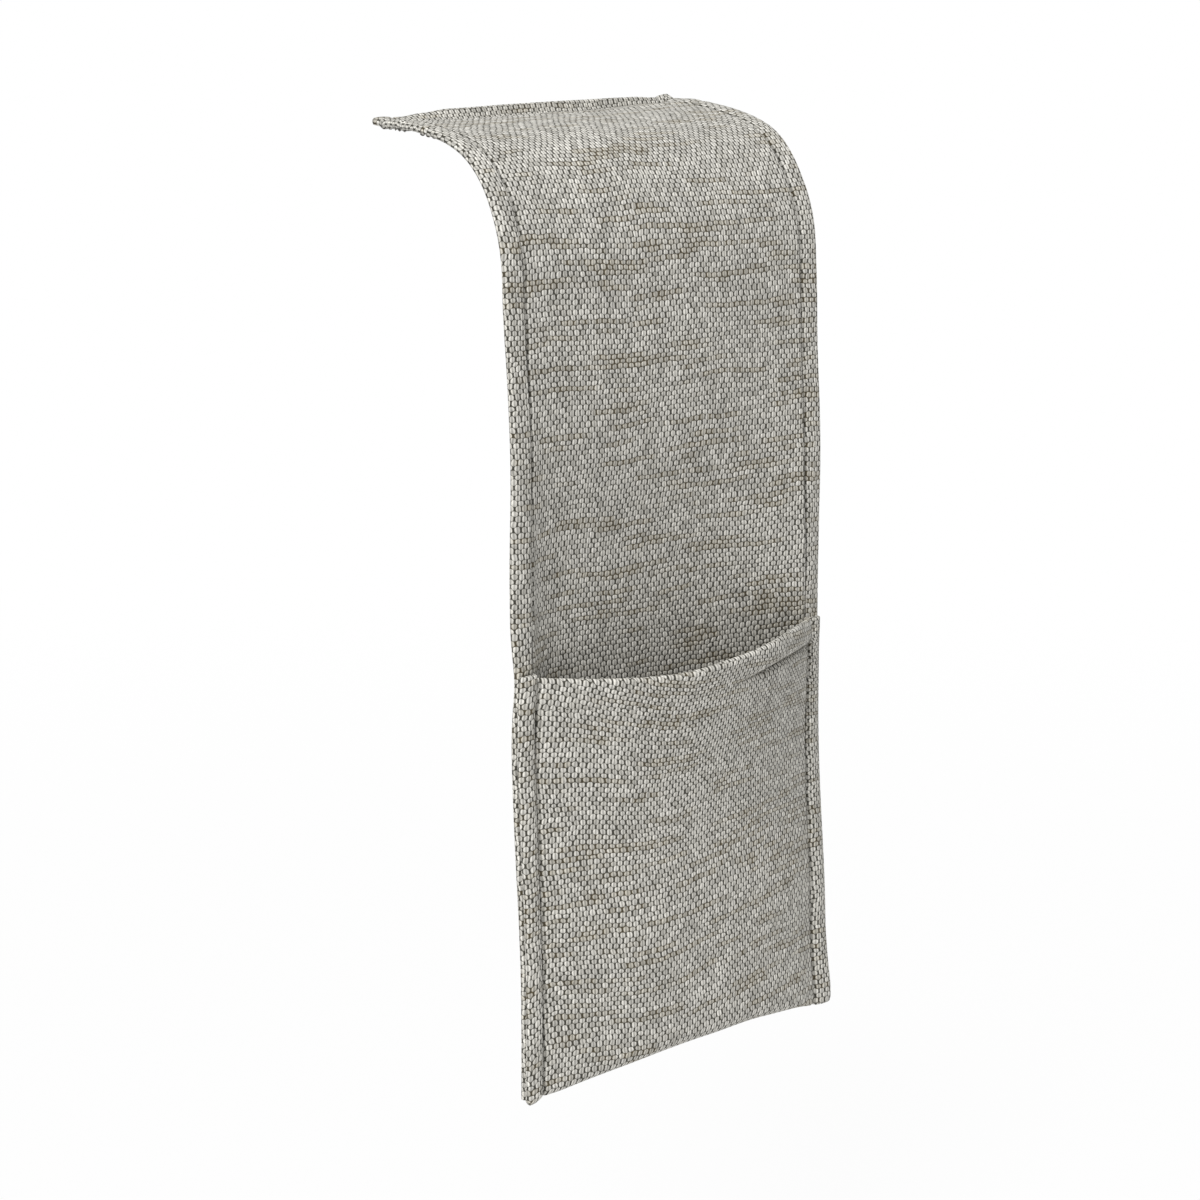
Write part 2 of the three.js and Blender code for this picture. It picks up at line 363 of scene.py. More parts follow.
@dataclass(frozen=True)
class DrapeForm:
    """How the hanging cloth departs from its plain side view, read from both side edges."""

    bow_depth: float = 7.5
    bow_full: float = 150.0
    bow_end: float = 252.0
    bow_left_power: float = 8.0
    bow_right_power: float = 2.0
    left_edge: Points = (
        (0, 0.3), (70, 1.5), (170, 0.4), (235, 2.7), (265, 1.4), (292, 0.0), (308, 0.2), (332, -0.5),
    )
    right_edge: Points = (
        (0, 3.7), (32, 1.0), (110, 0.0), (150, -0.3), (250, 1.3),
        (272, 0.5), (293, 0.0), (318, 2.4), (356, 3.4),
    )
    left_tilt: Points = ((0, 0), (140, -1), (215, -2.4), (290, -1), (330, 0))
    right_tilt: Points = ((0, -2), (60, 5), (155, 12), (215, 0), (290, 0), (330, 0))
    flare_length: float = 60.0
    flare_power: float = 2.0
    flap_lift_start: float = 300.0
    flap_lift_length: float = 30.0
    flap_lift_power: float = 1.5
    waist: float = 1.7
    waist_place: float = 138.0
    waist_spread: float = 12.0
    groove_depth: float = 1.9
    groove_spread: float = 0.55
    flange_puff: float = 0.35
    ripple: float = 0.22
    ripple_power: float = 4.0
    waves: tuple[tuple[float, float, float, float], ...] = (
        (17, 43, 1.0, 1.0), (9.5, -27, 2.2, 0.6), (31, -19, 0.4, 0.8), (60, 11, 0.0, 0.35),
    )


class Drape:
    """The real hang of the strip's face ply, as an offset out of its plain side view."""

    def __init__(self, form: ClothForm, drape: DrapeForm) -> None:
        """Keep the cloth's sizes and the drape's.

        Args:
            form: The sizes of the cloth.
            drape: How the hanging cloth departs from its side view.
        """
        self.form = form
        self.drape = drape

    def crown(self, across: Array, power: Array | float, peak: float = 0.0) -> Array:
        """Give 1 at the peak and 0 at both side seams and beyond them.

        Args:
            across: Distance from the middle of the strip, to the right.
            power: The higher it is, the flatter is the middle.
            peak: Where the crown is highest.

        Returns:
            The share at each place.
        """
        seam = self.form.seam
        reach = np.where(across > peak, seam - peak, seam + peak)
        return 1 - np.minimum(np.abs(across - peak) / reach, 1) ** power

    def bow(self, across: Array, along: Array) -> Array:
        """Give how far the strip bows back behind the pocket.

        Args:
            across: Distance from the middle of the strip, to the right.
            along: Distance from the bottom of the pocket.

        Returns:
            The depth of the bow, in millimetres.
        """
        drape = self.drape
        rise = smooth_rise(along / drape.bow_full)
        fall = smooth_rise((drape.bow_end - along) / (drape.bow_end - drape.bow_full))
        power = np.where(across < 0, drape.bow_left_power, drape.bow_right_power)
        return drape.bow_depth * rise * fall * self.crown(across, power)

    def hang(self, across: Array, along: Array) -> Array:
        """Give the lean of the whole strip that both its side edges show, with the flanges' tilt.

        Args:
            across: Distance from the middle of the strip, to the right.
            along: Distance from the bottom of the pocket.

        Returns:
            The offset out, in millimetres.
        """
        form, drape = self.form, self.drape
        half = form.width / 2
        past = np.clip(np.abs(across) - form.seam, 0, None)
        share = np.clip((across + half) / form.width, 0, 1)
        low = 1 - smooth_rise(along / drape.flare_length)
        high = smooth_rise((along - drape.flap_lift_start) / drape.flap_lift_length)
        share = share ** (1 + drape.flare_power * low + drape.flap_lift_power * high)
        tilts = [np.tan(np.radians(eased(t, along))) for t in (drape.left_tilt, drape.right_tilt)]
        left = eased(drape.left_edge, along) + tilts[0] * form.seam_inset
        right = eased(drape.right_edge, along) + tilts[1] * form.seam_inset
        tilt = np.where(across < 0, tilts[0], tilts[1])
        return left * (1 - share) + right * share - tilt * past

    def ripple(self, across: Array, along: Array) -> Array:
        """Give the slight waves that a hand-sewn cloth keeps.

        Args:
            across: Distance from the middle of the strip, to the right.
            along: Distance from the bottom of the pocket.

        Returns:
            The offset out, in millimetres.
        """
        drape = self.drape
        waves = sum(
            np.sin(across / wide + along / tall + start) * height
            for wide, tall, start, height in drape.waves
        )
        return drape.ripple * waves * self.crown(across, drape.ripple_power)

    def seam_dip(self, across: Array, spread: float) -> Array:
        """Give 1 on the side seams and 0 away from them."""
        return swell(np.abs(across), self.form.seam, spread)

    def flange_roll(self, across: Array) -> Array:
        """Give the rounded swell of the side margins, 1 in their middle."""
        past = (np.abs(across) - self.form.seam) / self.form.seam_inset
        return np.sin(np.pi * np.clip(past, 0, 1))

    def waist(self, across: Array, along: Array) -> Array:
        """Give places across that are drawn in at the height of the pocket's mouth.

        Args:
            across: Distance from the middle of the strip, to the right.
            along: Distance from the bottom of the pocket.

        Returns:
            The new distance from the middle of the strip.
        """
        form, drape = self.form, self.drape
        past = np.clip(np.abs(across) - form.seam, 0, None) / form.seam_inset
        pull = drape.waist * swell(along, drape.waist_place, drape.waist_spread)
        return across + np.where(across < 0, pull * past, 0.0)

    def face(self, across: Array, along: Array) -> Array:
        """Give the offset of the strip's face ply.

        Args:
            across: Distance from the middle of the strip, to the right.
            along: Distance from the bottom of the pocket.

        Returns:
            The offset out, in millimetres.
        """
        drape = self.drape
        groove = drape.groove_depth * self.seam_dip(across, drape.groove_spread)
        puff = drape.flange_puff * self.flange_roll(across)
        return self.hang(across, along) - self.bow(across, along) - groove + puff + self.ripple(across, along)


@dataclass(frozen=True)
class Grain:
    """One noise over the yarns: its scale across and along them, its seed, its detail and its zoom."""

    across: float
    along: float
    seed: float
    detail: float = 2.0
    zoom: float = 1.0


@dataclass(frozen=True)
class WeaveFinish:
    """The look of the coarse plain weave: pale floats, dark gaps partly painted as shade, and olive slubs."""

    name: str
    pale: Colour = (0.687, 0.669, 0.616)
    grey: Colour = (0.537, 0.52, 0.469)
    # The gap colours are the yarns seen between the floats, darkened further as painted shade.
    gap: Colour = (0.088, 0.083, 0.064)
    slub: Colour = (0.37, 0.33, 0.24)
    slub_gap: Colour = (0.12, 0.097, 0.055)
    grey_power: float = 2.2
    float_width: float = 0.425
    float_height: float = 0.304
    width_range: tuple[float, float] = (0.93, 1.06)
    column_range: tuple[float, float] = (0.84, 1.16)
    height_range: tuple[float, float] = (0.92, 1.07)
    centre_range: tuple[float, float] = (0.46, 0.54)
    squareness: float = 2.3
    floor: float = 0.35
    dome_power: float = 0.6
    gap_rise: float = 0.42
    # Painted highlight: a bright line down the warp at every yarn, darker between.
    painted_highlight: float = 0.34
    # How much the painted shade darkens the colour along seams and rows of stitches.
    painted_shade_strength: float = 0.8
    slub_tint: float = 0.4
    slub_squeeze: float = 0.14
    slub_range: tuple[float, float] = (0.54, 0.61)
    spot_range: tuple[float, float] = (0.24, 0.52)
    luck_range: tuple[float, float] = (0.87, 1.13)
    fibre_range: tuple[float, float] = (0.5, 1.5)
    yarn_range: tuple[float, float] = (0.95, 1.05)
    cloud_range: tuple[float, float] = (0.94, 1.06)
    drift: float = 0.9
    jitter: float = 0.42
    sag: float = 1.4
    tremble: float = 0.38
    drift_grain: Grain = Grain(0.05, 0.11, 3.0, 1.0)
    jitter_grain: Grain = Grain(0.21, 0.47, 8.0, 1.0)
    sag_grain: Grain = Grain(0.035, 0.05, 17.0)
    tremble_grain: Grain = Grain(0.21, 0.47, 8.0, 1.0, 1.7)
    column_grain: Grain = Grain(0.9, 0.03, 0.0)
    slub_grain: Grain = Grain(0.034, 13.7, 0.0, 1.5)
    spot_grain: Grain = Grain(0.45, 13.7, 5.0, 1.0)
    fibre_grain: Grain = Grain(2.5, 0.8, 2.0, 4.0)
    cloud_grain: Grain = Grain(0.09, 0.13, 31.0)
    relief_grain: Grain = Grain(4.2, 1.1, 12.0)
    relief_fibres: float = 0.16
    yarn_seed: float = 7.0
    height: float = 0.00029
    roughness: float = 0.92
    specular: float = 0.18
    sheen: float = 0.12
    sheen_roughness: float = 0.6


@dataclass(frozen=True)
class ThreadFinish:
    """The look of the spun sewing thread."""

    name: str = "sewing_thread"
    # Dark greys: the thread's own colour, darkened further to paint the shade of the grooves it lies in.
    light: Colour = (0.24, 0.225, 0.18)
    dark: Colour = (0.10, 0.092, 0.07)
    twists_per_metre: float = 1500.0
    height: float = 0.00012
    roughness: float = 0.75
    specular: float = 0.3


@dataclass(frozen=True)
class FloorFinish:
    """The look of the pale studio floor."""

    name: str = "studio_floor"
    colour: Colour = (0.86, 0.86, 0.86)
    near_white_share: float = 0.96
    fade_start: float = 0.35
    fade_end: float = 1.6
    grain_scale: float = 90.0
    grain_detail: float = 3.0
    grain_range: tuple[float, float] = (0.97, 1.03)


class NodeBoard:
    """A short hand for drawing the nodes of a material or a world."""

    def __init__(self, owner: bpy.types.Material | bpy.types.World) -> None:
        """Start an empty drawing.

        Args:
            owner: The new material or world.
        """
        self.owner = owner
        owner.use_nodes = True
        self.tree = owner.node_tree
        self.tree.nodes.clear()

    def add(self, kind: str) -> bpy.types.Node:
        """Add a node of a kind."""
        return self.tree.nodes.new(kind)

    def feed(self, socket: Socket, value: Socket | float | tuple) -> None:
        """Link a socket to another, or set its value.

        Args:
            socket: The socket that takes the value.
            value: The socket to link, or the number, vector or colour to set.
        """
        if isinstance(value, bpy.types.NodeSocket):
            self.tree.links.new(value, socket)
        else:
            socket.default_value = value

    def fill(self, kind: str, *values: Socket | float | tuple) -> bpy.types.Node:
        """Add a node and feed its first sockets.

        Args:
            kind: Blender's name of the node.
            values: What its first sockets get, in their order.

        Returns:
            The new node.
        """
        node = self.add(kind)
        for socket, value in zip(node.inputs, values):
            self.feed(socket, value)
        return node

    def math(self, operation: str, *values: Socket | float) -> Socket:
        """Add a math node.

        Args:
            operation: Blender's name of the operation.
            values: The sockets or numbers it works on.

        Returns:
            The result's socket.
        """
        node = self.fill("ShaderNodeMath", *values)
        node.operation = operation
        return node.outputs[0]

    def chain(self, operation: str, first: Socket | float, *others: Socket | float) -> Socket:
        """Join several values by one operation, such as MULTIPLY, ADD or MAXIMUM.

        Args:
            operation: Blender's name of the operation.
            first: The first value.
            others: The values that join it, in their order.

        Returns:
            The result's socket.
        """
        for other in others:
            first = self.math(operation, first, other)
        return first

    def vector(self, x: Socket | float, y: Socket | float, z: Socket | float = 0.0) -> Socket:
        """Join three numbers into a vector."""
        return self.fill("ShaderNodeCombineXYZ", x, y, z).outputs[0]

    def noise(self, place: Socket, scale: float, detail: float) -> Socket:
        """Add smooth noise at a place, from 0 to 1.

        Args:
            place: The place, as a vector.
            scale: How fine the noise is.
            detail: How many finer layers it has.

        Returns:
            The noise's socket.
        """
        node = self.add("ShaderNodeTexNoise")
        for name, value in (("Vector", place), ("Scale", scale), ("Detail", detail)):
            self.feed(node.inputs[name], value)
        return node.outputs[0]

    def chance(self, place: Socket) -> tuple[Socket, Socket]:
        """Add a random number and a random colour that belong to a place.

        Args:
            place: The place, as a vector.

        Returns:
            The sockets of the number and the colour.
        """
        node = self.add("ShaderNodeTexWhiteNoise")
        node.noise_dimensions = "3D"
        self.feed(node.inputs["Vector"], place)
        return node.outputs["Value"], node.outputs["Color"]

    def between(self, value: Socket, low: float, high: float) -> Socket:
        """Rise smoothly from 0 to 1 while a value goes from low to high.

        Args:
            value: The value.
            low: Where it starts to rise.
            high: Where it has risen to 1.

        Returns:
            The result's socket.
        """
        node = self.add("ShaderNodeMapRange")
        node.interpolation_type = "SMOOTHSTEP"
        for name, amount in (("Value", value), ("From Min", low), ("From Max", high)):
            self.feed(node.inputs[name], amount)
        return node.outputs["Result"]

    def spread(self, value: Socket, low: float, high: float) -> Socket:
        """Stretch a value from 0..1 to low..high."""
        return self.math("MULTIPLY_ADD", value, high - low, low)

    def mix(self, share: Socket | float, first: Socket | tuple, second: Socket | tuple) -> Socket:
        """Mix two colours.

        Args:
            share: The second colour's share.
            first: The colour at 0.
            second: The colour at 1.

        Returns:
            The mixed colour's socket.
        """
        node = self.add("ShaderNodeMix")
        node.data_type = "RGBA"
        colours = [socket for socket in node.inputs if socket.type == "RGBA"]
        self.feed(node.inputs[0], share)
        for socket, value in zip(colours, (first, second)):
            self.feed(socket, (*value, 1.0) if isinstance(value, tuple) else value)
        return next(socket for socket in node.outputs if socket.type == "RGBA")

    def scaled(self, colour: Socket | tuple, amount: Socket) -> Socket:
        """Multiply a colour by a number.

        Args:
            colour: The colour.
            amount: The number.

        Returns:
            The new colour's socket.
        """
        node = self.add("ShaderNodeVectorMath")
        node.operation = "SCALE"
        self.feed(node.inputs[0], colour)
        self.feed(node.inputs["Scale"], amount)
        return node.outputs[0]

    def split(self, vector: Socket) -> list[Socket]:
        """Split a vector into its three numbers."""
        return list(self.fill("ShaderNodeSeparateXYZ", vector).outputs)

    def map(self, name: str) -> list[Socket]:
        """Read a piece's own map.

        Args:
            name: The map's name.

        Returns:
            The places across and along, and a third that is empty.
        """
        node = self.add("ShaderNodeUVMap")
        node.uv_map = name
        return self.split(node.outputs[0])

    def direct_rays(self) -> Socket:
        """Give 1 to rays that look at a thing straight, in a reflection or through something clear.

        Returns:
            The result's socket.
        """
        rays = self.add("ShaderNodeLightPath").outputs
        kinds = ("Camera", "Glossy", "Transmission")
        return self.chain("MAXIMUM", *(rays[f"Is {kind} Ray"] for kind in kinds))

    def surface(self, colour: Socket, relief: Socket, finish: WeaveFinish | ThreadFinish) -> bpy.types.Node:
        """Shade a material with a colour and a relief.

        Args:
            colour: The base colour.
            relief: The bump's height.
            finish: The look with the relief's height, the roughness and the specular level.

        Returns:
            The shader.
        """
        bump = self.add("ShaderNodeBump")
        self.feed(bump.inputs["Distance"], finish.height)
        self.feed(bump.inputs["Height"], relief)
        shader = self.add("ShaderNodeBsdfPrincipled")
        self.feed(shader.inputs["Base Color"], colour)
        self.feed(shader.inputs["Normal"], bump.outputs[0])
        shader.inputs["Roughness"].default_value = finish.roughness
        shader.inputs["Specular IOR Level"].default_value = finish.specular
        self.fill("ShaderNodeOutputMaterial", shader.outputs[0])
        return shader


class WeaveMaterial:
    """Draws the plain weave on a piece's own map of warp and weft yarns."""

    MAP = "weave"
    # The attribute that carries the painted shade along seams and rows of stitches.
    PAINTED_SHADE = "crease"

    def __init__(self, finish: WeaveFinish) -> None:
        """Draw the material.

        Args:
            finish: The look to draw.
        """
        self.finish = finish
        self.material = bpy.data.materials.new(finish.name)
        self.board = NodeBoard(self.material)
        warp, weft = self._yarn_place()
        slub = self._slubs(warp, weft)
        height, luck, luck_colour = self._floats(warp, weft, slub)
        colour = self._colour(warp, weft, slub, height, luck, luck_colour)
        shader = self.board.surface(colour, self._relief(warp, weft, height), finish)
        shader.inputs["Sheen Weight"].default_value = finish.sheen
        shader.inputs["Sheen Roughness"].default_value = finish.sheen_roughness

    def _grain(self, grain: Grain, across: Socket, along: Socket, seed: float = 0.0) -> Socket:
        """Add one of the finish's noises.

        Args:
            grain: The noise's sizes.
            across: The place across, in yarns.
            along: The place along, in yarns.
            seed: A number that sets this use apart from others.

        Returns:
            The noise's socket.
        """
        board = self.board
        places = board.math("MULTIPLY", across, grain.across), board.math("MULTIPLY", along, grain.along)
        return board.noise(board.vector(*places, grain.seed + seed), grain.zoom, grain.detail)

    def _wander(self, grain: Grain, across: Socket, along: Socket, reach: float) -> Socket:
        """Give a slight move to either side, in yarns."""
        return self.board.spread(self._grain(grain, across, along), -reach, reach)

    def _yarn_place(self) -> tuple[Socket, Socket]:
        """Give the place in yarns across and along, with the wander of a real weave.

        Returns:
            The place across and the place along.
        """
        board, finish = self.board, self.finish
        across, along, _ = board.map(self.MAP)
        drift = self._wander(finish.drift_grain, across, along, finish.drift)
        jitter = self._wander(finish.jitter_grain, across, along, finish.jitter)
        sag = self._wander(finish.sag_grain, across, along, finish.sag)
        tremble = self._wander(finish.tremble_grain, across, along, finish.tremble)
        return board.chain("ADD", across, drift, jitter), board.chain("ADD", along, sag, tremble)

    def _lattice(
        self, warp: Socket, weft: Socket, slub: Socket, shift: float, seed: float
    ) -> tuple[Socket, Socket, Socket]:
        """Draw the floats of every other row.

        Args:
            warp: The place across, in yarns.
            weft: The place along, in yarns.
            slub: Where the weft is thick, which squeezes the floats.
            shift: The share of a cell by which this row's floats are shifted.
            seed: A number that keeps the two rows' chances apart.

        Returns:
            The floats' height, and a random number and colour for each float.
        """
        board, finish = self.board, self.finish
        places = [board.math("MULTIPLY_ADD", yarns, 0.5, shift) for yarns in (warp, weft)]
        cells = [board.math("FLOOR", place) for place in places]
        luck, luck_colour = board.chance(board.vector(cells[0], cells[1], seed))
        red, green, blue = board.split(luck_colour)
        column = self._grain(finish.column_grain, cells[0], weft, seed)
        width = board.chain(
            "MULTIPLY", board.spread(red, *finish.width_range), board.spread(column, *finish.column_range),
            finish.float_width,
        )
        squeeze = board.math("MULTIPLY_ADD", slub, -finish.slub_squeeze, 1.0)
        tall = board.chain(
            "MULTIPLY", board.spread(green, *finish.height_range), squeeze, finish.float_height,
        )
        centre = board.spread(blue, *finish.centre_range)
        across = board.math("SUBTRACT", board.math("FRACT", places[0]), centre)
        along = board.math("SUBTRACT", board.math("FRACT", places[1]), 0.5)
        powers = []
        for place, reach in ((across, width), (along, tall)):
            share = board.math("DIVIDE", board.math("ABSOLUTE", place), reach)
            powers.append(board.math("POWER", share, finish.squareness))
        height = board.math("SUBTRACT", 1.0, board.math("ADD", *powers))
        return board.math("MAXIMUM", height, -finish.floor), luck, luck_colour

    def _floats(self, warp: Socket, weft: Socket, slub: Socket) -> tuple[Socket, Socket, Socket]:
        """Join the floats of the even and the odd rows.

        Args:
            warp: The place across, in yarns.
            weft: The place along, in yarns.
            slub: Where the weft is thick.

        Returns:
            The floats' height, and a random number and colour for each float.
        """
        board = self.board
        even, even_luck, even_colour = self._lattice(warp, weft, slub, 0.5, 1.0)
        odd, odd_luck, odd_colour = self._lattice(warp, weft, slub, 0.0, 2.0)
        is_odd = board.math("GREATER_THAN", odd, even)
        is_even = board.math("SUBTRACT", 1.0, is_odd)
        shares = board.math("MULTIPLY", is_odd, odd_luck), board.math("MULTIPLY", is_even, even_luck)
        colour = board.mix(is_odd, even_colour, odd_colour)
        return board.math("MAXIMUM", even, odd), board.math("ADD", *shares), colour

    def _slubs(self, warp: Socket, weft: Socket) -> Socket:
        """Give where a weft yarn is thick and olive, one row high and a few centimetres long.

        Args:
            warp: The place across, in yarns.
            weft: The place along, in yarns.

        Returns:
            A share from 0 to 1.
        """
        board, finish = self.board, self.finish
        row = board.math("FLOOR", board.math("ADD", weft, 0.5))
        thick = board.between(self._grain(finish.slub_grain, warp, row), *finish.slub_range)
        spots = board.between(self._grain(finish.spot_grain, warp, row), *finish.spot_range)
        return board.math("MULTIPLY", thick, spots)

    def _colour(
        self, warp: Socket, weft: Socket, slub: Socket, height: Socket, luck: Socket, luck_colour: Socket
    ) -> Socket:
        """Mix the floats, the gaps with their painted shade, and the slubs.

        Args:
            warp: The place across, in yarns.
            weft: The place along, in yarns.
            slub: Where the weft is thick.
            height: The floats' height.
            luck: A random number for each float.
            luck_colour: A random colour for each float.

        Returns:
            The base colour.
        """
        board, finish = self.board, self.finish
        hue = board.math("POWER", board.split(luck_colour)[2], finish.grey_power)
        pale = board.mix(hue, finish.pale, finish.grey)
        pale = board.mix(board.math("MULTIPLY", slub, finish.slub_tint), pale, finish.slub)
        gap = board.mix(slub, finish.gap, finish.slub_gap)
        # Painted shade: the colour darkens from each float's middle down into the gaps round it.
        body = board.mix(board.between(height, 0.0, finish.gap_rise), gap, pale)
        column = board.math("FLOOR", board.math("ADD", warp, 0.5))
        yarn = board.chance(board.vector(column, 0.0, finish.yarn_seed))[0]
        # Painted highlight: bright lines down the warp at every yarn, darker between them.
        painted_highlight = board.math("COSINE", board.math("MULTIPLY", warp, math.tau))
        # Painted shade: the colour darkens along the seams and rows of stitches, where shade falls in their
        # grooves.
        crease = board.add("ShaderNodeAttribute")
        crease.attribute_name = self.PAINTED_SHADE
        light = board.chain(
            "MULTIPLY",
            board.spread(luck, *finish.luck_range),
            board.spread(self._grain(finish.fibre_grain, warp, weft), *finish.fibre_range),
            board.spread(yarn, *finish.yarn_range),
            board.math("MULTIPLY_ADD", painted_highlight, -finish.painted_highlight, 1.0),
            board.spread(self._grain(finish.cloud_grain, warp, weft), *finish.cloud_range),
            board.math("MULTIPLY_ADD", crease.outputs["Fac"], -finish.painted_shade_strength, 1.0),
        )
        return board.scaled(body, light)

    def _relief(self, warp: Socket, weft: Socket, height: Socket) -> Socket:
        """Give the height of the weave, with its fibres.

        Args:
            warp: The place across, in yarns.
            weft: The place along, in yarns.
            height: The floats' height.

        Returns:
            The bump's height.
        """
        board, finish = self.board, self.finish
        raised = board.math("MAXIMUM", board.math("ADD", height, finish.floor), 0.0)
        dome = board.math("POWER", raised, finish.dome_power)
        fibres = self._grain(finish.relief_grain, warp, weft)
        return board.math("MULTIPLY_ADD", fibres, finish.relief_fibres, dome)


class ThreadMaterial:
    """Draws the twist of spun thread on a piece's own map."""

    MAP = "twist"

    def __init__(self, finish: ThreadFinish) -> None:
        """Draw the material.

        Args:
            finish: The look to draw.
        """
        self.material = bpy.data.materials.new(finish.name)
        board = NodeBoard(self.material)
        round_place, along, _ = board.map(self.MAP)
        start = board.math("MULTIPLY", round_place, math.tau)
        turn = board.math("MULTIPLY_ADD", along, finish.twists_per_metre, start)
        ply = board.spread(board.math("SINE", turn), 0.5, 1.0)
        board.surface(board.mix(ply, finish.dark, finish.light), ply, finish)


def add_piece(
    name: str, mesh: bpy.types.Mesh, material: bpy.types.Material, sharp: float = 55.0
) -> bpy.types.Object:
    """Add a mesh to the scene as a piece that is shaded smooth.

    Args:
        name: The piece's name.
        mesh: Its mesh.
        material: Its material.
        sharp: The angle above which its edges stay sharp.

    Returns:
        The new object, at the origin.
    """
    mesh.materials.append(material)
    piece = bpy.data.objects.new(name, mesh)
    bpy.context.scene.collection.objects.link(piece)
    bpy.ops.object.select_all(action="DESELECT")
    piece.select_set(True)
    bpy.context.view_layer.objects.active = piece
    bpy.ops.object.shade_smooth_by_angle(angle=math.radians(sharp))
    return piece


def write_map(mesh: bpy.types.Mesh, name: str, places: Array) -> None:
    """Write a map that has a place for each corner of each face."""
    mesh.uv_layers.new(name=name).data.foreach_set("uv", places.astype(np.float32).ravel())


class ThickSheet:
    """A closed sheet of cloth around a grid of places at the middle of its thickness."""

    ROUND_STEPS = 4
    ROUND_REACH = 0.75
    BACK_SHIFT = (1.0, 0.0)
    BAKE_MAP = "OFBake"
    BAKE_GAP = 0.005
    BAKE_HALF = 0.485
    BAKE_FULL = 0.99
    BAND = 0.02

    def __init__(
        self,
        middle: Array,
        yarns: Array,
        thickness: float,
        rounded: tuple[Edge, ...],
        crease: Array | float = 0.0,
    ) -> None:
        """Keep the grid and work out its normals.

        Args:
            middle: Grid of places in millimetres, rows by columns by 3.
            yarns: Grid of the weave's place in warp and weft yarns, rows by columns by 2.
            thickness: The sheet's thickness.
            rounded: The borders that show and so are rounded.
            crease: How much painted shade darkens each place along seams and rows of stitches, from 0 to 1.
        """
        self.middle = middle
        self.yarns = yarns
        self.half = thickness / 2
        self.rounded = rounded
        self.crease = np.broadcast_to(crease, middle.shape[:2])
        self.by_row = np.gradient(middle, axis=0)
        self.by_column = np.gradient(middle, axis=1)
        self.normal = unit(np.cross(self.by_column, self.by_row))

    def _border(self) -> tuple[Array, Array, Array]:
        """Walk once round the grid.

        Returns:
            The rows, the columns and the outward reach of each border place.
        """
        rows, columns = self.middle.shape[:2]
        walk = [(0, column) for column in range(columns - 1)]
        walk += [(row, columns - 1) for row in range(rows - 1)]
        walk += [(rows - 1, column) for column in range(columns - 1, 0, -1)]
        walk += [(row, 0) for row in range(rows - 1, 0, -1)]
        row, column = np.array(walk).T
        runs = {
            Edge.FIRST_ROW: (row == 0, -self.by_row),
            Edge.LAST_ROW: (row == rows - 1, self.by_row),
            Edge.FIRST_COLUMN: (column == 0, -self.by_column),
            Edge.LAST_COLUMN: (column == columns - 1, self.by_column),
        }
        outward = np.zeros((len(walk), 3))
        for edge in self.rounded:
            touched, run = runs[edge]
            outward += unit(run[row, column]) * touched[:, None]
        return row, column, outward / np.maximum(np.linalg.norm(outward, axis=-1, keepdims=True), 1.0)

    def build(self, name: str, material: bpy.types.Material) -> bpy.types.Object:
        """Make the closed mesh with its two maps and its painted shade along seams and rows of stitches.

        The weave on its back is shifted by one warp yarn, so that it shows the floats between those
        of the front.

        Args:
            name: The piece's name.
            material: Its material.

        Returns:
            The new object, at the origin.
        """
        rows, columns = self.middle.shape[:2]
        count = rows * columns
        row, column, outward = self._border()
        turns = np.linspace(0, np.pi, self.ROUND_STEPS + 1)[1:-1]
        middle, normal = self.middle[row, column], self.normal[row, column]
        aways = [self.ROUND_REACH * np.sin(turn) * outward for turn in turns]
        rings = [middle + self.half * (np.cos(turn) * normal + away) for turn, away in zip(turns, aways)]
        reach = self.normal * self.half
        points = self._joined(self.middle + reach, self.middle - reach, rings) * MM
        index = np.arange(count).reshape(rows, columns)
        quads = np.stack([index[:-1, :-1], index[:-1, 1:], index[1:, 1:], index[1:, :-1]], axis=-1)
        quads = quads.reshape(-1, 4)
        border = index[row, column]
        size = len(border)
        levels = [border, *(2 * count + np.arange(len(turns) * size).reshape(-1, size)), border + count]
        walls = [
            np.stack([np.roll(low, -1), low, high, np.roll(high, -1)], axis=-1)
            for low, high in zip(levels, levels[1:])
        ]
        faces = np.concatenate([quads, quads[:, ::-1] + count, *walls])
        mesh = bpy.data.meshes.new(name)
        mesh.from_pydata(points.tolist(), [], faces.tolist())
        yarns = self._joined(self.yarns, self.yarns + self.BACK_SHIFT, [self.yarns[row, column]] * len(turns))
        write_map(mesh, WeaveMaterial.MAP, yarns[faces.reshape(-1)])
        # The painted shade along seams and rows of stitches goes on every point as an attribute.
        crease = self._joined(self.crease, self.crease, [self.crease[row, column]] * len(turns))
        values = mesh.attributes.new(WeaveMaterial.PAINTED_SHADE, "FLOAT", "POINT").data
        values.foreach_set("value", crease.astype(np.float32))
        write_map(mesh, self.BAKE_MAP, self._bake_places(quads, size, len(walls)))
        return add_piece(name, mesh, material)

    @staticmethod
    def _joined(front: Array, behind: Array, rings: list[Array]) -> Array:
        """Join the values of the front's points, the back's and the rim's."""
        sides = [side.reshape(-1, *side.shape[2:]) for side in (front, behind)]
        return np.concatenate([*sides, *rings])

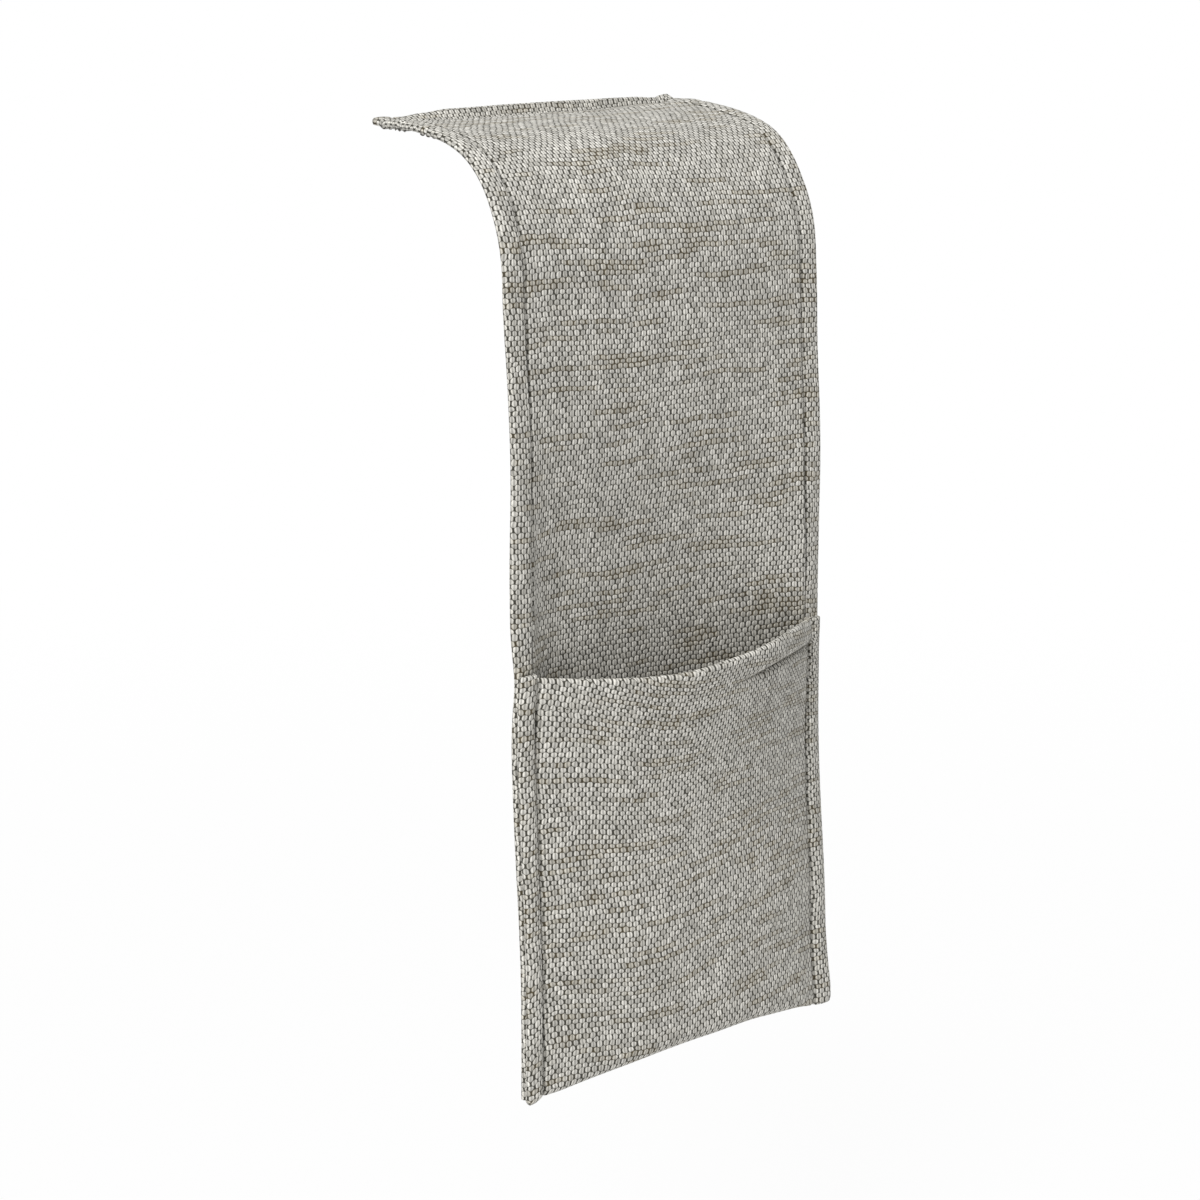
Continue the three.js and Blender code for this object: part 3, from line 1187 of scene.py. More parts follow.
    def _bake_places(self, quads: Array, size: int, levels: int) -> Array:
        """Lay out a map without overlaps: the front on its left, the back on its right, the rim below.

        Args:
            quads: The points of each face of the front.
            size: The number of faces round the rim.
            levels: The number of faces from the front to the back over the rim.

        Returns:
            The places of the corners, faces by 4 by 2.
        """
        rows, columns = self.middle.shape[:2]
        bottom, rim = 2 * self.BAND, 1.5 * self.BAND
        across, along = np.meshgrid(np.linspace(0, 1, columns), np.linspace(0, 1, rows))
        grid = np.stack([
            self.BAKE_GAP + self.BAKE_HALF * across, bottom + (self.BAKE_FULL - bottom) * along,
        ], axis=-1).reshape(-1, 2)
        mirrored = grid[quads[:, ::-1]] * [-1, 1] + [1, 0]
        wall = np.stack(np.meshgrid(
            self.BAKE_GAP + self.BAKE_FULL * np.arange(size + 1) / size,
            self.BAKE_GAP + (rim - self.BAKE_GAP) * np.arange(levels + 1) / levels,
        ), axis=-1)
        walls = np.stack([wall[:-1, 1:], wall[:-1, :-1], wall[1:, :-1], wall[1:, 1:]], axis=2)
        return np.concatenate([grid[quads], mirrored, walls.reshape(-1, 4, 2)])


def run_across(places: Array) -> Array:
    """Measure the way along each row of a grid of places, from its first column."""
    steps = np.linalg.norm(np.diff(places, axis=1), axis=-1)
    return np.concatenate([np.zeros((places.shape[0], 1)), np.cumsum(steps, axis=1)], axis=1)


def run_along(places: Array) -> Array:
    """Measure the way along each column of a grid of places, from its first row."""
    return run_across(places.swapaxes(0, 1)).T


def outer_face(middle: Array, thickness: float) -> Array:
    """Move a grid from the middle of a sheet to its outer face."""
    normal = np.cross(np.gradient(middle, axis=1), np.gradient(middle, axis=0))
    return middle + unit(normal) * thickness / 2


def yarns_across(places: Array, pitch: float) -> Array:
    """Count the warp yarns from the middle of the strip, along each row of a grid.

    Args:
        places: Grid of places in millimetres, with an odd number of columns.
        pitch: The distance between warp yarns.

    Returns:
        The yarn count at each place, rising to the right.
    """
    run = run_across(places)
    middle = places.shape[1] // 2
    return (run - run[:, middle:middle + 1]) / pitch


@dataclass
class PocketForm:
    """The pocket's shape: its belly, its open mouth and its sunk seams, in millimetres."""

    form: ClothForm
    drape: Drape
    height: float = 140.9
    side_pitch: float = 1.15
    bottom_depth: float = 8.6
    mouth_gain: float = 12.5
    mouth_start: float = 66.0
    flare_power: float = 2.0
    bottom_raise: float = 6.0
    raise_power: float = 2.0
    crown_power: float = 2.4
    mouth_peak: float = 1.0
    mouth_left_power: float = 1.6
    mouth_right_power: float = 2.0
    mouth_line: Points = (
        (-66, -0.8), (-43, -3.1), (-28, -4.1), (-15, -4.15), (2, -2.2),
        (24, -0.1), (36, 1.1), (50, 1.5), (66, 0.9),
    )
    left_draw_in: float = -0.7
    right_draw_in: float = 2.0
    groove: float = 2.8
    groove_spread: float = 0.65
    flange_puff: float = 1.2
    ripple_share: float = 0.7
    ripple_shift: float = 40.0
    fold_lift: Points = (
        (-74, -0.9), (-66, 0.6), (-58, 0.1), (-26, -0.7), (4, -0.6), (33, 0.5), (60, 1.2),
    )
    notch: float = 0.9
    notch_spread: float = 0.8
    mouth_hem_depth: float = 8.7
    hem_puff: float = 1.1
    stitch_dip: float = 2.1
    stitch_spread: float = 1.3
    stitch_left: float = 0.05
    slack_end: float = 4.0
    slack_fade: float = 24.0
    lopsided_start: float = 50.0
    slant_rows: float = 9.0
    slant_right: float = 0.3
    slant_start: float = 72.0
    slant_power: float = 1.4
    row_fade: float = 125.0
    row_hold: float = 3.5

    @property
    def offset(self) -> float:
        """The pocket ply's distance out from the strip's at the side seams, with a margin between them."""
        return 2 * self.side_pitch

    @property
    def stitch_drop(self) -> float:
        """How far the row of stitches lies below the mouth's rolled edge."""
        return self.form.turn_reach + self.mouth_hem_depth

    def draw_in(self, across: Array) -> Array:
        """Give how far the pocket's side edges lie inside the strip's, in proportion past the seam."""
        past = np.clip((np.abs(across) - self.form.seam) / self.form.seam_inset, 0, 1)
        return np.where(across < 0, self.left_draw_in, self.right_draw_in) * past

    def depth(self, along: Array) -> Array:
        """Give how deep the pocket stands out in its middle."""
        flare = np.clip((along - self.mouth_start) / (self.height - self.mouth_start), 0, 1)
        return self.bottom_depth + self.mouth_gain * flare ** self.flare_power

    def crown(self, across: Array, along: Array) -> Array:
        """Give the share of the depth across the pocket, lopsided at the mouth.

        Args:
            across: Distance from the middle of the strip, to the right.
            along: Distance from the bottom of the pocket.

        Returns:
            The share at each place.
        """
        plain = self.drape.crown(across, self.crown_power)
        power = np.where(across < self.mouth_peak, self.mouth_left_power, self.mouth_right_power)
        lopsided = self.drape.crown(across, power, self.mouth_peak)
        share = smooth_rise((along - self.lopsided_start) / (self.height - self.lopsided_start))
        return blended(plain, lopsided, share)

    def slant(self, across: Array, along: Array) -> Array:
        """Give how many weft yarns the front's rows are crowded by towards the mouth and its right.

        Args:
            across: Distance from the middle of the strip, to the right.
            along: Distance from the bottom of the pocket.

        Returns:
            The number of yarns.
        """
        share = across / self.form.seam
        wide = smooth_rise(share + 1) + self.slant_right * np.clip(share, 0, 1)
        high = np.clip((along - self.slant_start) / (self.height - self.slant_start), 0, 1)
        return self.slant_rows * wide * high ** self.slant_power

    def face(self, across: Array, along: Array) -> Array:
        """Give the pocket ply's offset out of the strip's side view, without its hem's stitches.

        Args:
            across: Distance from the middle of the strip, to the right.
            along: Distance from the bottom of the pocket.

        Returns:
            The offset out, in millimetres.
        """
        held = np.clip(along, 0, self.height)
        body = self.offset + self.depth(held) * self.crown(across, held)
        sunk = self.groove * self.drape.seam_dip(across, self.groove_spread)
        puff = self.flange_puff * self.drape.flange_roll(across)
        ripple = self.ripple_share * self.drape.ripple(across + self.ripple_shift, held)
        return body - sunk + puff + self.drape.hang(across, held) + ripple

    def back(self, across: Array, along: Array) -> Array:
        """Give the strip's own offset where the pocket's bottom meets it."""
        return self.drape.face(across, along)

    def belly_radius(self, across: Array) -> Array:
        """Give half the distance between the pocket's two faces at its bottom."""
        zero = np.zeros_like(across)
        return (self.face(across, zero) - self.back(across, zero)) / 2

    def belly_top(self, across: Array) -> Array:
        """Give where the pocket's rounded bottom ends and its two faces begin.

        Args:
            across: Distance from the middle of the strip, to the right.

        Returns:
            The distance from the bottom of the pocket.
        """
        form = self.form
        held = np.clip(across, -form.turn_place, form.turn_place)
        lift = eased(self.fold_lift, across) + self.notch * self.drape.seam_dip(across, self.notch_spread)
        raised = self.bottom_raise * self.drape.crown(across, self.raise_power)
        return form.half_ply + raised + self.belly_radius(held) + lift

    def mouth_top(self, across: Array) -> Array:
        """Give the height of the mouth's rolled edge."""
        return self.height + traced(self.mouth_line, across)

    def tightness(self, across: Array) -> Array:
        """Give how tightly the mouth's stitches are drawn, from 0 at the slack left to 1 at the right."""
        return smooth_rise((across - self.slack_end) / self.slack_fade)

    def row_shift(self, across: Array, along: Array) -> Array:
        """Give how many weft yarns the strip's rows sag by near the pocket's bottom.

        Args:
            across: Distance from the middle of the strip, to the right.
            along: Distance from the bottom of the pocket.

        Returns:
            The number of yarns.
        """
        inner = self.form.seam - self.row_hold
        held = np.clip(across, -inner, inner)
        wrap = np.pi * self.belly_radius(held)
        face = self.mouth_top(held) - self.belly_top(held)
        side = inner + np.zeros_like(across)
        side_run = np.pi * self.belly_radius(side) + self.mouth_top(side) - self.belly_top(side)
        join = wrap + face - side_run
        fade = 1 - smooth_rise(along / self.row_fade)
        return (join - self.belly_top(held)) / self.form.weft_pitch * fade


@dataclass
class StripCloth:
    """The flap and the hanging part: one length of cloth with its side margins turned behind it."""

    strip: Strip
    drape: Drape
    weave: WeaveMaterial
    pocket: PocketForm
    margin_end: float = 1.6
    mitre_rest: float = 0.3
    margin_columns: int = 9
    seam_steps: tuple[float, ...] = (-1.5, -1.0, -0.6, -0.3, 0.0, 0.3, 0.6, 1.0, 1.5)
    flange_columns: int = 6
    turn_steps: int = 7
    bottom_rows: int = 9
    bottom_zone: float = 20.0
    lip_rows: int = 11
    lip_zone: float = 1.2
    seam_pinch: float = 0.25
    pinch_spread: float = 2.0
    # The painted shade along the side seams and the flap end's row of stitches, and its spread.
    seam_painted_shade: float = 0.95
    lip_painted_shade: float = 0.6
    painted_shade_spread: float = 0.8
    hem_print: float = 0.3
    hem_print_place: float = 9.0
    hem_print_spread: float = 0.8
    hem_groove: float = 0.7
    hem_groove_spread: float = 0.7

    def face_columns(self) -> Array:
        """Give the places across the face, closer together at the seams.

        Returns:
            The distances from the middle of the strip, from left to right.
        """
        form = self.strip.form
        inner = form.seam + self.seam_steps[0]
        count = 2 * round(inner / form.warp_pitch)
        middle = np.linspace(-inner, inner, count + 1)[1:-1]
        seam = form.seam + np.array(self.seam_steps)
        right = np.concatenate([seam, np.linspace(seam[-1], form.turn_place, self.flange_columns + 1)[1:]])
        return np.concatenate([-right[::-1], middle, right])

    def rows(self) -> Array:
        """Give the places along the strip, a row of weft at a time, from the zone above its bottom.

        Returns:
            The distances from the bottom of the pocket, upwards.
        """
        form = self.strip.form
        plain = form.lip_start - self.lip_zone
        count = round((plain - self.bottom_zone) / form.weft_pitch)
        lip = np.linspace(plain, form.end - form.turn_reach, self.lip_rows + 1)[1:]
        return np.concatenate([np.linspace(self.bottom_zone, plain, count + 1), lip])

    def section(self, place: Array) -> tuple[Array, Array]:
        """Draw the strip's section, from the left margin's end round the face to the right one's.

        Args:
            place: One column of places along the strip.

        Returns:
            The places across and the offset out, a row for each place along.
        """
        form = self.strip.form
        mitre = smooth_rise((place - form.hem_start) / (form.hem_depth - form.turn_reach))
        inner = form.seam - self.margin_end
        inner = inner + (form.turn_place - self.mitre_rest - inner) * mitre
        margin = inner + (form.turn_place - inner) * np.linspace(0, 1, self.margin_columns + 1)[None, :-1]
        turns = np.linspace(0, np.pi, self.turn_steps + 1)[1:-1]
        turned = form.turn_place + form.turn_radius * np.sin(turns)
        sunk = form.turn_radius * (1 + np.cos(turns))
        parts = (-margin, -turned, self.face_columns(), turned[::-1], margin[:, ::-1])
        parts = [np.broadcast_to(part, (len(place), part.shape[-1])) for part in parts]
        across = np.concatenate(parts, axis=1)
        held = np.clip(across, -form.turn_place, form.turn_place)
        back = form.layer_pitch - self.seam_pinch * self.drape.seam_dip(held, self.pinch_spread)
        depth = np.zeros_like(across)
        width, ring = self.margin_columns, len(turns)
        depth[:, :width] = back[:, :width]
        depth[:, -width:] = back[:, -width:]
        depth[:, width:width + ring] = sunk
        depth[:, -width - ring:-width] = sunk[::-1]
        return across, self.drape.face(held, place) - depth

    def build(self) -> bpy.types.Object:
        """Build the strip's cloth, which bends between the two bodies of the part.

        Returns:
            The new object.
        """
        form = self.strip.form
        rows = self.rows()[:, None]
        across, _ = self.section(rows[:1])
        columns = across.shape[1]
        bottom = self.pocket.belly_top(across)
        share = np.linspace(0, 1, self.bottom_rows + 1)[:-1, None]
        lower = bottom + (self.bottom_zone - bottom) * share
        along = np.concatenate([lower, np.broadcast_to(rows, (len(rows), columns))])
        spots = [np.stack(self.section(along[:, k:k + 1]))[:, :, k] for k in range(columns)]
        across, out = np.stack(spots, axis=-1)
        edge = form.hem_start - self.hem_print_place
        out = out - self.hem_print * swell(along, edge, self.hem_print_spread)
        out = out - self.hem_groove * swell(along, form.lip_start, self.hem_groove_spread)
        middle = self.strip.place(self.drape.waist(across, along), along, out)
        yarns = np.stack([
            yarns_across(outer_face(middle, form.ply), form.warp_pitch),
            along / form.weft_pitch + self.pocket.row_shift(across, along),
        ], axis=-1)
        # Painted shade: darkens the colour along the side seams and the flap end's row of stitches, where
        # shade falls in their grooves.
        crease = self.seam_painted_shade * self.drape.seam_dip(across, self.painted_shade_spread)
        crease = np.maximum(crease, self.lip_painted_shade * swell(along, form.lip_start, self.painted_shade_spread))
        sheet = ThickSheet(middle, yarns, form.ply, (Edge.FIRST_COLUMN, Edge.LAST_COLUMN), crease)
        piece = sheet.build("strip_cloth", self.weave.material)
        nodes = ["flap_panel", "drop_panel"]
        nodes += [f"{part}_{side}_hem" for part in ("flap", "drop") for side in ("left", "right")]
        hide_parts(*nodes)
        return piece


@dataclass
class PocketCloth:
    """The pocket's front, its turned side margins and the rolled hem of its mouth."""

    strip: Strip
    pocket: PocketForm
    weave: WeaveMaterial
    columns: Array
    belly_steps: int = 14
    turn_steps: int = 7
    margin_columns: int = 7
    margin_end: float = 2.6
    margin_lean: float = 0.6
    foot_ease: float = 12.0
    # The spreads of the painted shade along the side seams and along the mouth's row of stitches.
    painted_shade_spread: float = 0.85
    hem_painted_shade_spread: float = 0.55
    hem_rows: int = 6
    hem_rest: float = 0.6
    hem_fade: float = 3.0
    flange_rest: float = 0.1
    stitch_rows: tuple[float, ...] = (2.4, 1.6, 1.0, 0.5, 0.0, -0.5, -1.0, -1.6, -2.4)
    rim_rows: int = 5
    _yarns: Array = field(init=False)

    def face_top(self, across: Array) -> Array:
        """Give where the front ply ends: under the rolled mouth, or at the flange's top.

        Args:
            across: Distance from the middle of the strip, to the right.

        Returns:
            The distance from the bottom of the pocket.
        """
        form = self.strip.form
        rolled = self.pocket.mouth_top(across) - form.turn_reach
        return np.where(np.abs(across) > form.seam - self.flange_rest, self.pocket.height, rolled)

    def hem_hold(self, across: Array) -> Array:
        """Give how tightly the mouth's hem is sewn, from its slack left part to its right.

        Args:
            across: Distance from the middle of the strip, to the right.

        Returns:
            A share from 0 to 1.
        """
        pocket = self.pocket
        inside = smooth_rise((self.strip.form.seam - np.abs(across)) / self.hem_fade)
        return inside * (pocket.stitch_left + (1 - pocket.stitch_left) * pocket.tightness(across))

    def hem_stitch(self, across: Array, along: Array, spread: float) -> Array:
        """Give 1 on the row of stitches below the mouth, less where the hem is slack."""
        below = self.pocket.mouth_top(across) - along
        return swell(below, self.pocket.stitch_drop, spread) * self.hem_hold(across)

    def front(self, across: Array, along: Array) -> Array:
        """Give the front ply's offset with its hem, which swells below the mouth and dips at its stitches.

        Args:
            across: Distance from the middle of the strip, to the right.
            along: Distance from the bottom of the pocket.

        Returns:
            The offset out, in millimetres.
        """
        pocket = self.pocket
        stitch = pocket.stitch_drop
        puff = swell(pocket.mouth_top(across) - along, stitch / 2, stitch / 3) * self.hem_hold(across)
        dip = pocket.stitch_dip * self.hem_stitch(across, along, pocket.stitch_spread)
        return pocket.face(across, along) + (pocket.hem_puff * puff - dip)

    def _face_places(self, across: Array) -> Array:
        """Give places up the front, in rows of weft, closer together at the hem's stitches.

        Args:
            across: Distance from the middle of the strip, to the right.

        Returns:
            The distances from the bottom of the pocket, a row for each place up.
        """
        top = self.face_top(across)
        bottom = self.pocket.belly_top(across)
        stitch = self.pocket.mouth_hem_depth
        fine = np.array(self.stitch_rows) + stitch
        count = round((self.pocket.height - stitch - self.stitch_rows[0]) / self.strip.form.weft_pitch)
        share = np.linspace(0, 1, count + 1)[1:, None]
        low = bottom + (top - fine[0] - bottom) * share
        rest = np.linspace(fine[-1], 0, self.rim_rows + 1)[1:, None]
        return np.concatenate([low, top - fine[1:, None], top - rest])

    def build_face(self) -> bpy.types.Object:
        """Build the front ply, which runs on round the pocket's bottom to meet the strip.

        Returns:
            The new object.
        """
        form, pocket = self.strip.form, self.pocket
        across = self.columns[None, :]
        radius = pocket.belly_radius(across)
        start = pocket.belly_top(across)
        zero = np.zeros_like(across)
        centre = (pocket.face(across, zero) + pocket.back(across, zero)) / 2
        turn = np.linspace(0, np.pi, self.belly_steps + 1)[:, None]
        places = self._face_places(across)
        along = np.concatenate([start - radius * np.sin(turn), places])
        low = self.front(across, np.zeros_like(places))
        front = blended(low, self.front(across, places), smooth_rise((places - start) / self.foot_ease))
        out = np.concatenate([centre - radius * np.cos(turn), front])
        rise = pocket.back(across, start) - pocket.back(across, zero)
        out[:self.belly_steps + 1] += rise * np.cos(turn / 2) ** 2
        drawn = pocket.draw_in(across)
        lean = np.concatenate([np.sin(turn / 2) ** 2 * drawn, np.broadcast_to(drawn, places.shape)])
        inward = across - np.sign(across) * lean
        middle = self.strip.place(pocket.drape.waist(inward, along), along, out)
        rows = pocket.row_shift(across, zero) + start / form.weft_pitch - run_along(middle) / form.weft_pitch
        rows = rows - pocket.slant(across, along)
        inner = form.seam - pocket.row_hold
        rows = np.stack([np.interp(np.clip(self.columns, -inner, inner), self.columns, row) for row in rows])
        count = yarns_across(outer_face(middle, form.ply), form.warp_pitch)
        self._yarns = np.stack([count, rows], axis=-1)
        # Painted shade: darkens the colour along the side seams and the mouth's row of stitches, where shade
        # falls in their grooves.
        seams = pocket.drape.seam_dip(across, self.painted_shade_spread)
        hem = self.hem_stitch(across, along, self.hem_painted_shade_spread)
        crease = np.maximum(seams, np.where(along > pocket.mouth_start, hem, 0.0))
        sheet = ThickSheet(middle, self._yarns, form.ply, (Edge.LAST_ROW,), crease)
        piece = sheet.build("pocket_cloth", self.weave.material)
        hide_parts("pocket_panel")
        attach(piece, "hanging")
        return piece

    def build_edge(self, side: Side) -> bpy.types.Object:
        """Build the side margin that is turned into the pocket.

        Args:
            side: The edge of the strip it belongs to.

        Returns:
            The new object.
        """
        form, pocket = self.strip.form, self.pocket
        face = np.array([form.turn_place * side.value])
        start = pocket.belly_top(face)
        turns = np.linspace(0, np.pi, self.turn_steps + 1)
        radius = pocket.side_pitch / 2
        margin = np.linspace(0, form.seam_inset - self.margin_end, self.margin_columns + 1)[1:]
        reach = np.concatenate([radius * np.sin(turns), -margin])
        sunk = np.concatenate([radius * (1 - np.cos(turns)), np.full(len(margin), pocket.side_pitch)])
        edge = form.turn_place - float(pocket.draw_in(face)[0])
        along = np.concatenate([start[None, :], self._face_places(face[None, :])])
        wide, tall = np.broadcast_arrays(side.value * (edge + reach)[None, :], along)
        flat = np.full_like(wide, form.turn_place * side.value)
        ease = smooth_rise((tall - start) / self.foot_ease)
        base = blended(pocket.face(flat, np.zeros_like(tall)), pocket.face(flat, tall), ease)
        at_edge = pocket.face(np.full_like(wide, edge * side.value), tall)
        slope = np.where(np.abs(wide) < edge, pocket.face(np.clip(wide, -edge, edge), tall) - at_edge, 0.0)
        out = base - sunk + slope * self.margin_lean
        middle = self.strip.place(pocket.drape.waist(wide, tall), tall, out)
        count = run_across(outer_face(middle, form.ply * side.value)) * side.value / form.warp_pitch
        first = self._yarns[self.belly_steps:, -1 if side is Side.RIGHT else 0][:, None]
        yarns = np.stack([first[..., 0] + count, np.broadcast_to(first[..., 1], wide.shape)], axis=-1)
        if side is Side.LEFT:
            middle, yarns = middle[:, ::-1], yarns[:, ::-1]
        sheet = ThickSheet(middle, yarns, form.ply, (Edge.LAST_ROW, Edge.FIRST_ROW))
        name = side.name.lower()
        piece = sheet.build(f"pocket_{name}_margin", self.weave.material)
        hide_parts(f"pocket_{name}_hem")
        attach(piece, "hanging")
        return piece

    def build_mouth(self) -> bpy.types.Object:
        """Build the rolled mouth and the margin turned into the pocket below it.

        Returns:
            The new object.
        """
        form, pocket = self.strip.form, self.pocket
        reach = form.seam - form.layer_gap
        inner = self.columns[np.abs(self.columns) < reach]
        across = np.concatenate([[-reach], inner, [reach]])[None, :]
        start = pocket.mouth_top(across) - form.turn_reach
        turn = np.linspace(0, np.pi, self.turn_steps + 1)[:, None]
        rolled = self.front(across, start) - form.turn_radius * (1 - np.cos(turn))
        low = start - np.linspace(0, pocket.mouth_hem_depth - self.hem_rest, self.hem_rows + 1)[1:, None]
        along = np.concatenate([start + form.turn_radius * np.sin(turn), low])
        out = np.concatenate([rolled, self.front(across, low) - form.layer_pitch])
        middle = self.strip.place(across, along, out)
        warp, weft = sampled(self._yarns[-1], self.columns, across[0]).T
        weft = weft - run_along(middle) / form.weft_pitch
        yarns = np.stack([np.broadcast_to(warp, along.shape), weft], axis=-1)
        sheet = ThickSheet(middle, yarns, form.ply, (Edge.LAST_ROW, Edge.FIRST_COLUMN, Edge.LAST_COLUMN))
        piece = sheet.build("pocket_mouth_roll", self.weave.material)
        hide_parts("pocket_mouth_hem")
        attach(piece, "hanging")
        return piece


@dataclass
class FlapHem:
    """The margin turned under at the free end of the flap."""

    strip: Strip
    drape: Drape
    weave: WeaveMaterial
    columns: Array
    corner_inset: float = 0.4
    column_gap: float = 0.3
    turn_steps: int = 7
    rows: int = 18
    mitre_inset: float = 2.6
    mitre_speed: float = 1.6
    first_rows: int = 3
    first_inset: float = 1.2
    tuck: float = 0.5
    tuck_start: float = 6.0
    tuck_reach: float = 5.0

    def build(self) -> bpy.types.Object:
        """Build the flap's rolled end with its mitred under ply.

        Returns:
            The new object.
        """
        form = self.strip.form
        edge = form.turn_place
        reach = edge + form.turn_reach - self.corner_inset - form.half_ply
        inner = self.columns[np.abs(self.columns) < reach - self.column_gap]
        across = np.concatenate([[-reach], inner, [reach]])[None, :]
        start = form.end - form.turn_reach
        turn = np.linspace(0, np.pi, self.turn_steps + 1)[:, None]
        face = self.drape.face(np.clip(across, -edge, edge), np.full_like(across, start))
        share = np.linspace(0, 1, self.rows + 1)[1:, None]
        low = start - share * (start - form.hem_start)
        along = np.concatenate([start + form.turn_radius * np.sin(turn), low])
        narrow = 1 - (1 - (form.seam - self.mitre_inset) / reach) * smooth_rise(share * self.mitre_speed)
        first = slice(self.first_rows)
        narrow[first] = np.minimum(narrow[first], (edge - self.first_inset) / reach)
        width = np.concatenate([np.broadcast_to(across, (len(turn), across.shape[1])), across * narrow])
        along = np.broadcast_to(along, width.shape)
        held = np.clip(width[len(turn):], -edge, edge)
        tuck = self.tuck * smooth_rise((np.abs(held) - form.seam + self.tuck_start) / self.tuck_reach)
        under = self.drape.face(held, along[len(turn):]) - form.layer_pitch + tuck
        out = np.concatenate([face - form.turn_radius * (1 - np.cos(turn)), under])
        middle = self.strip.place(width, along, out)
        run = run_along(middle)
        rows = start / form.weft_pitch + run[:, [run.shape[1] // 2]] / form.weft_pitch
        yarns = np.stack([width / form.warp_pitch, np.broadcast_to(rows, width.shape)], axis=-1)
        sheet = ThickSheet(middle, yarns, form.ply, (Edge.LAST_ROW, Edge.FIRST_COLUMN, Edge.LAST_COLUMN))
        piece = sheet.build("flap_end_roll", self.weave.material)
        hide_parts("flap_end_hem")
        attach(piece, "flap")
        return piece


@dataclass(frozen=True)
class StitchForm:
    """One lockstitch: a short cord that dives into the cloth at both ends, in millimetres."""

    pitch: float = 2.85
    length: float = 2.3
    radius: float = 0.33
    flatness: float = 0.75
    dive: float = 0.55
    slim: float = 0.35
    sides: int = 8
    cuts: tuple[float, ...] = (-0.34, -0.15, 0.15, 0.34)
    wander: float = 0.07
    stretch: float = 0.03
    sharp: float = 50.0


class StitchMaker:
    """Models one stitch and sets copies of it along a seam."""

    def __init__(self, form: StitchForm) -> None:
        """Model the stitch with Blender's operators.

        Args:
            form: The stitch's sizes.
        """
        self.form = form
        length = form.length * MM
        bpy.ops.object.select_all(action="DESELECT")
        bpy.ops.mesh.primitive_cylinder_add(
            vertices=form.sides, radius=form.radius * MM, depth=length,
            end_fill_type="NGON", rotation=(0.0, math.pi / 2, 0.0),
        )
        model = bpy.context.active_object
        bpy.ops.object.transform_apply(location=True, rotation=True, scale=True)
        bpy.ops.object.mode_set(mode="EDIT")
        for cut in form.cuts:
            bpy.ops.mesh.select_all(action="SELECT")
            bpy.ops.mesh.bisect(plane_co=(cut * length, 0, 0), plane_no=(1, 0, 0))
        bpy.ops.mesh.select_all(action="SELECT")
        bpy.ops.transform.resize(value=(1.0, 1.0, form.flatness))
        bpy.ops.object.mode_set(mode="OBJECT")
        self._dive(model, length)
        mesh = model.data
        self.points = np.array([tuple(v.co) for v in mesh.vertices]) / MM
        self.faces = [tuple(face.vertices) for face in mesh.polygons]
        bpy.data.objects.remove(model)

    @property
    def lift(self) -> float:
        """Half the stitch's height at its middle."""
        return self.form.radius * self.form.flatness

    def _dive(self, model: bpy.types.Object, length: float) -> None:
        """Bow the stitch down and thin it towards both ends.

        Args:
            model: The plain cord.
            length: Its length, in metres.
        """
        for vertex in model.data.vertices:
            share = abs(vertex.co.x) / (length / 2)
            slim = 1 - self.form.slim * share ** 3
            vertex.co.y *= slim
            vertex.co.z = vertex.co.z * slim - self.form.dive * MM * share ** 3

    def row(self, name: str, route: Array, normals: Array, material: bpy.types.Material) -> bpy.types.Object:
        """Set stitches along a route.

        Args:
            name: The row's name.
            route: Places along the seam, in millimetres.
            normals: The cloth's outward direction at each place.
            material: The thread's material.

        Returns:
            The new object.
        """
        form = self.form
        run = run_across(route[None])[0]
        count = max(int(run[-1] // form.pitch), 1)
        centres = (np.arange(count) + 0.5) * run[-1] / count
        half = form.length / 2
        ahead = sampled(route, run, np.minimum(centres + half, run[-1]))
        heading = unit(ahead - sampled(route, run, np.maximum(centres - half, 0)))
        up = sampled(normals, run, centres)
        up = unit(up - heading * np.sum(up * heading, axis=-1, keepdims=True))
        sideways = np.cross(up, heading)
        luck = np.random.default_rng(len(name) * 7 + count)
        points, faces, twist = [], [], []
        for index, centre in enumerate(sampled(route, run, centres)):
            wander = luck.normal(0, form.wander)
            local = self.points * [1 + luck.normal(0, form.stretch), 1, 1]
            placed = centre + local[:, :1] * heading[index] + (local[:, 1:2] + wander) * sideways[index]
            base = len(points) * len(self.points)
            points.append(placed + local[:, 2:] * up[index])
            faces += [tuple(base + v for v in face) for face in self.faces]
            angle = np.arctan2(local[:, 2], local[:, 1]) / math.tau
            twist.append(np.stack([angle, (centres[index] + local[:, 0]) * MM], axis=-1))
        mesh = bpy.data.meshes.new(name)
        mesh.from_pydata((np.concatenate(points) * MM).tolist(), [], faces)
        corners = np.array([loop.vertex_index for loop in mesh.loops])
        write_map(mesh, ThreadMaterial.MAP, np.concatenate(twist)[corners])
        piece = add_piece(name, mesh, material, form.sharp)
        return piece


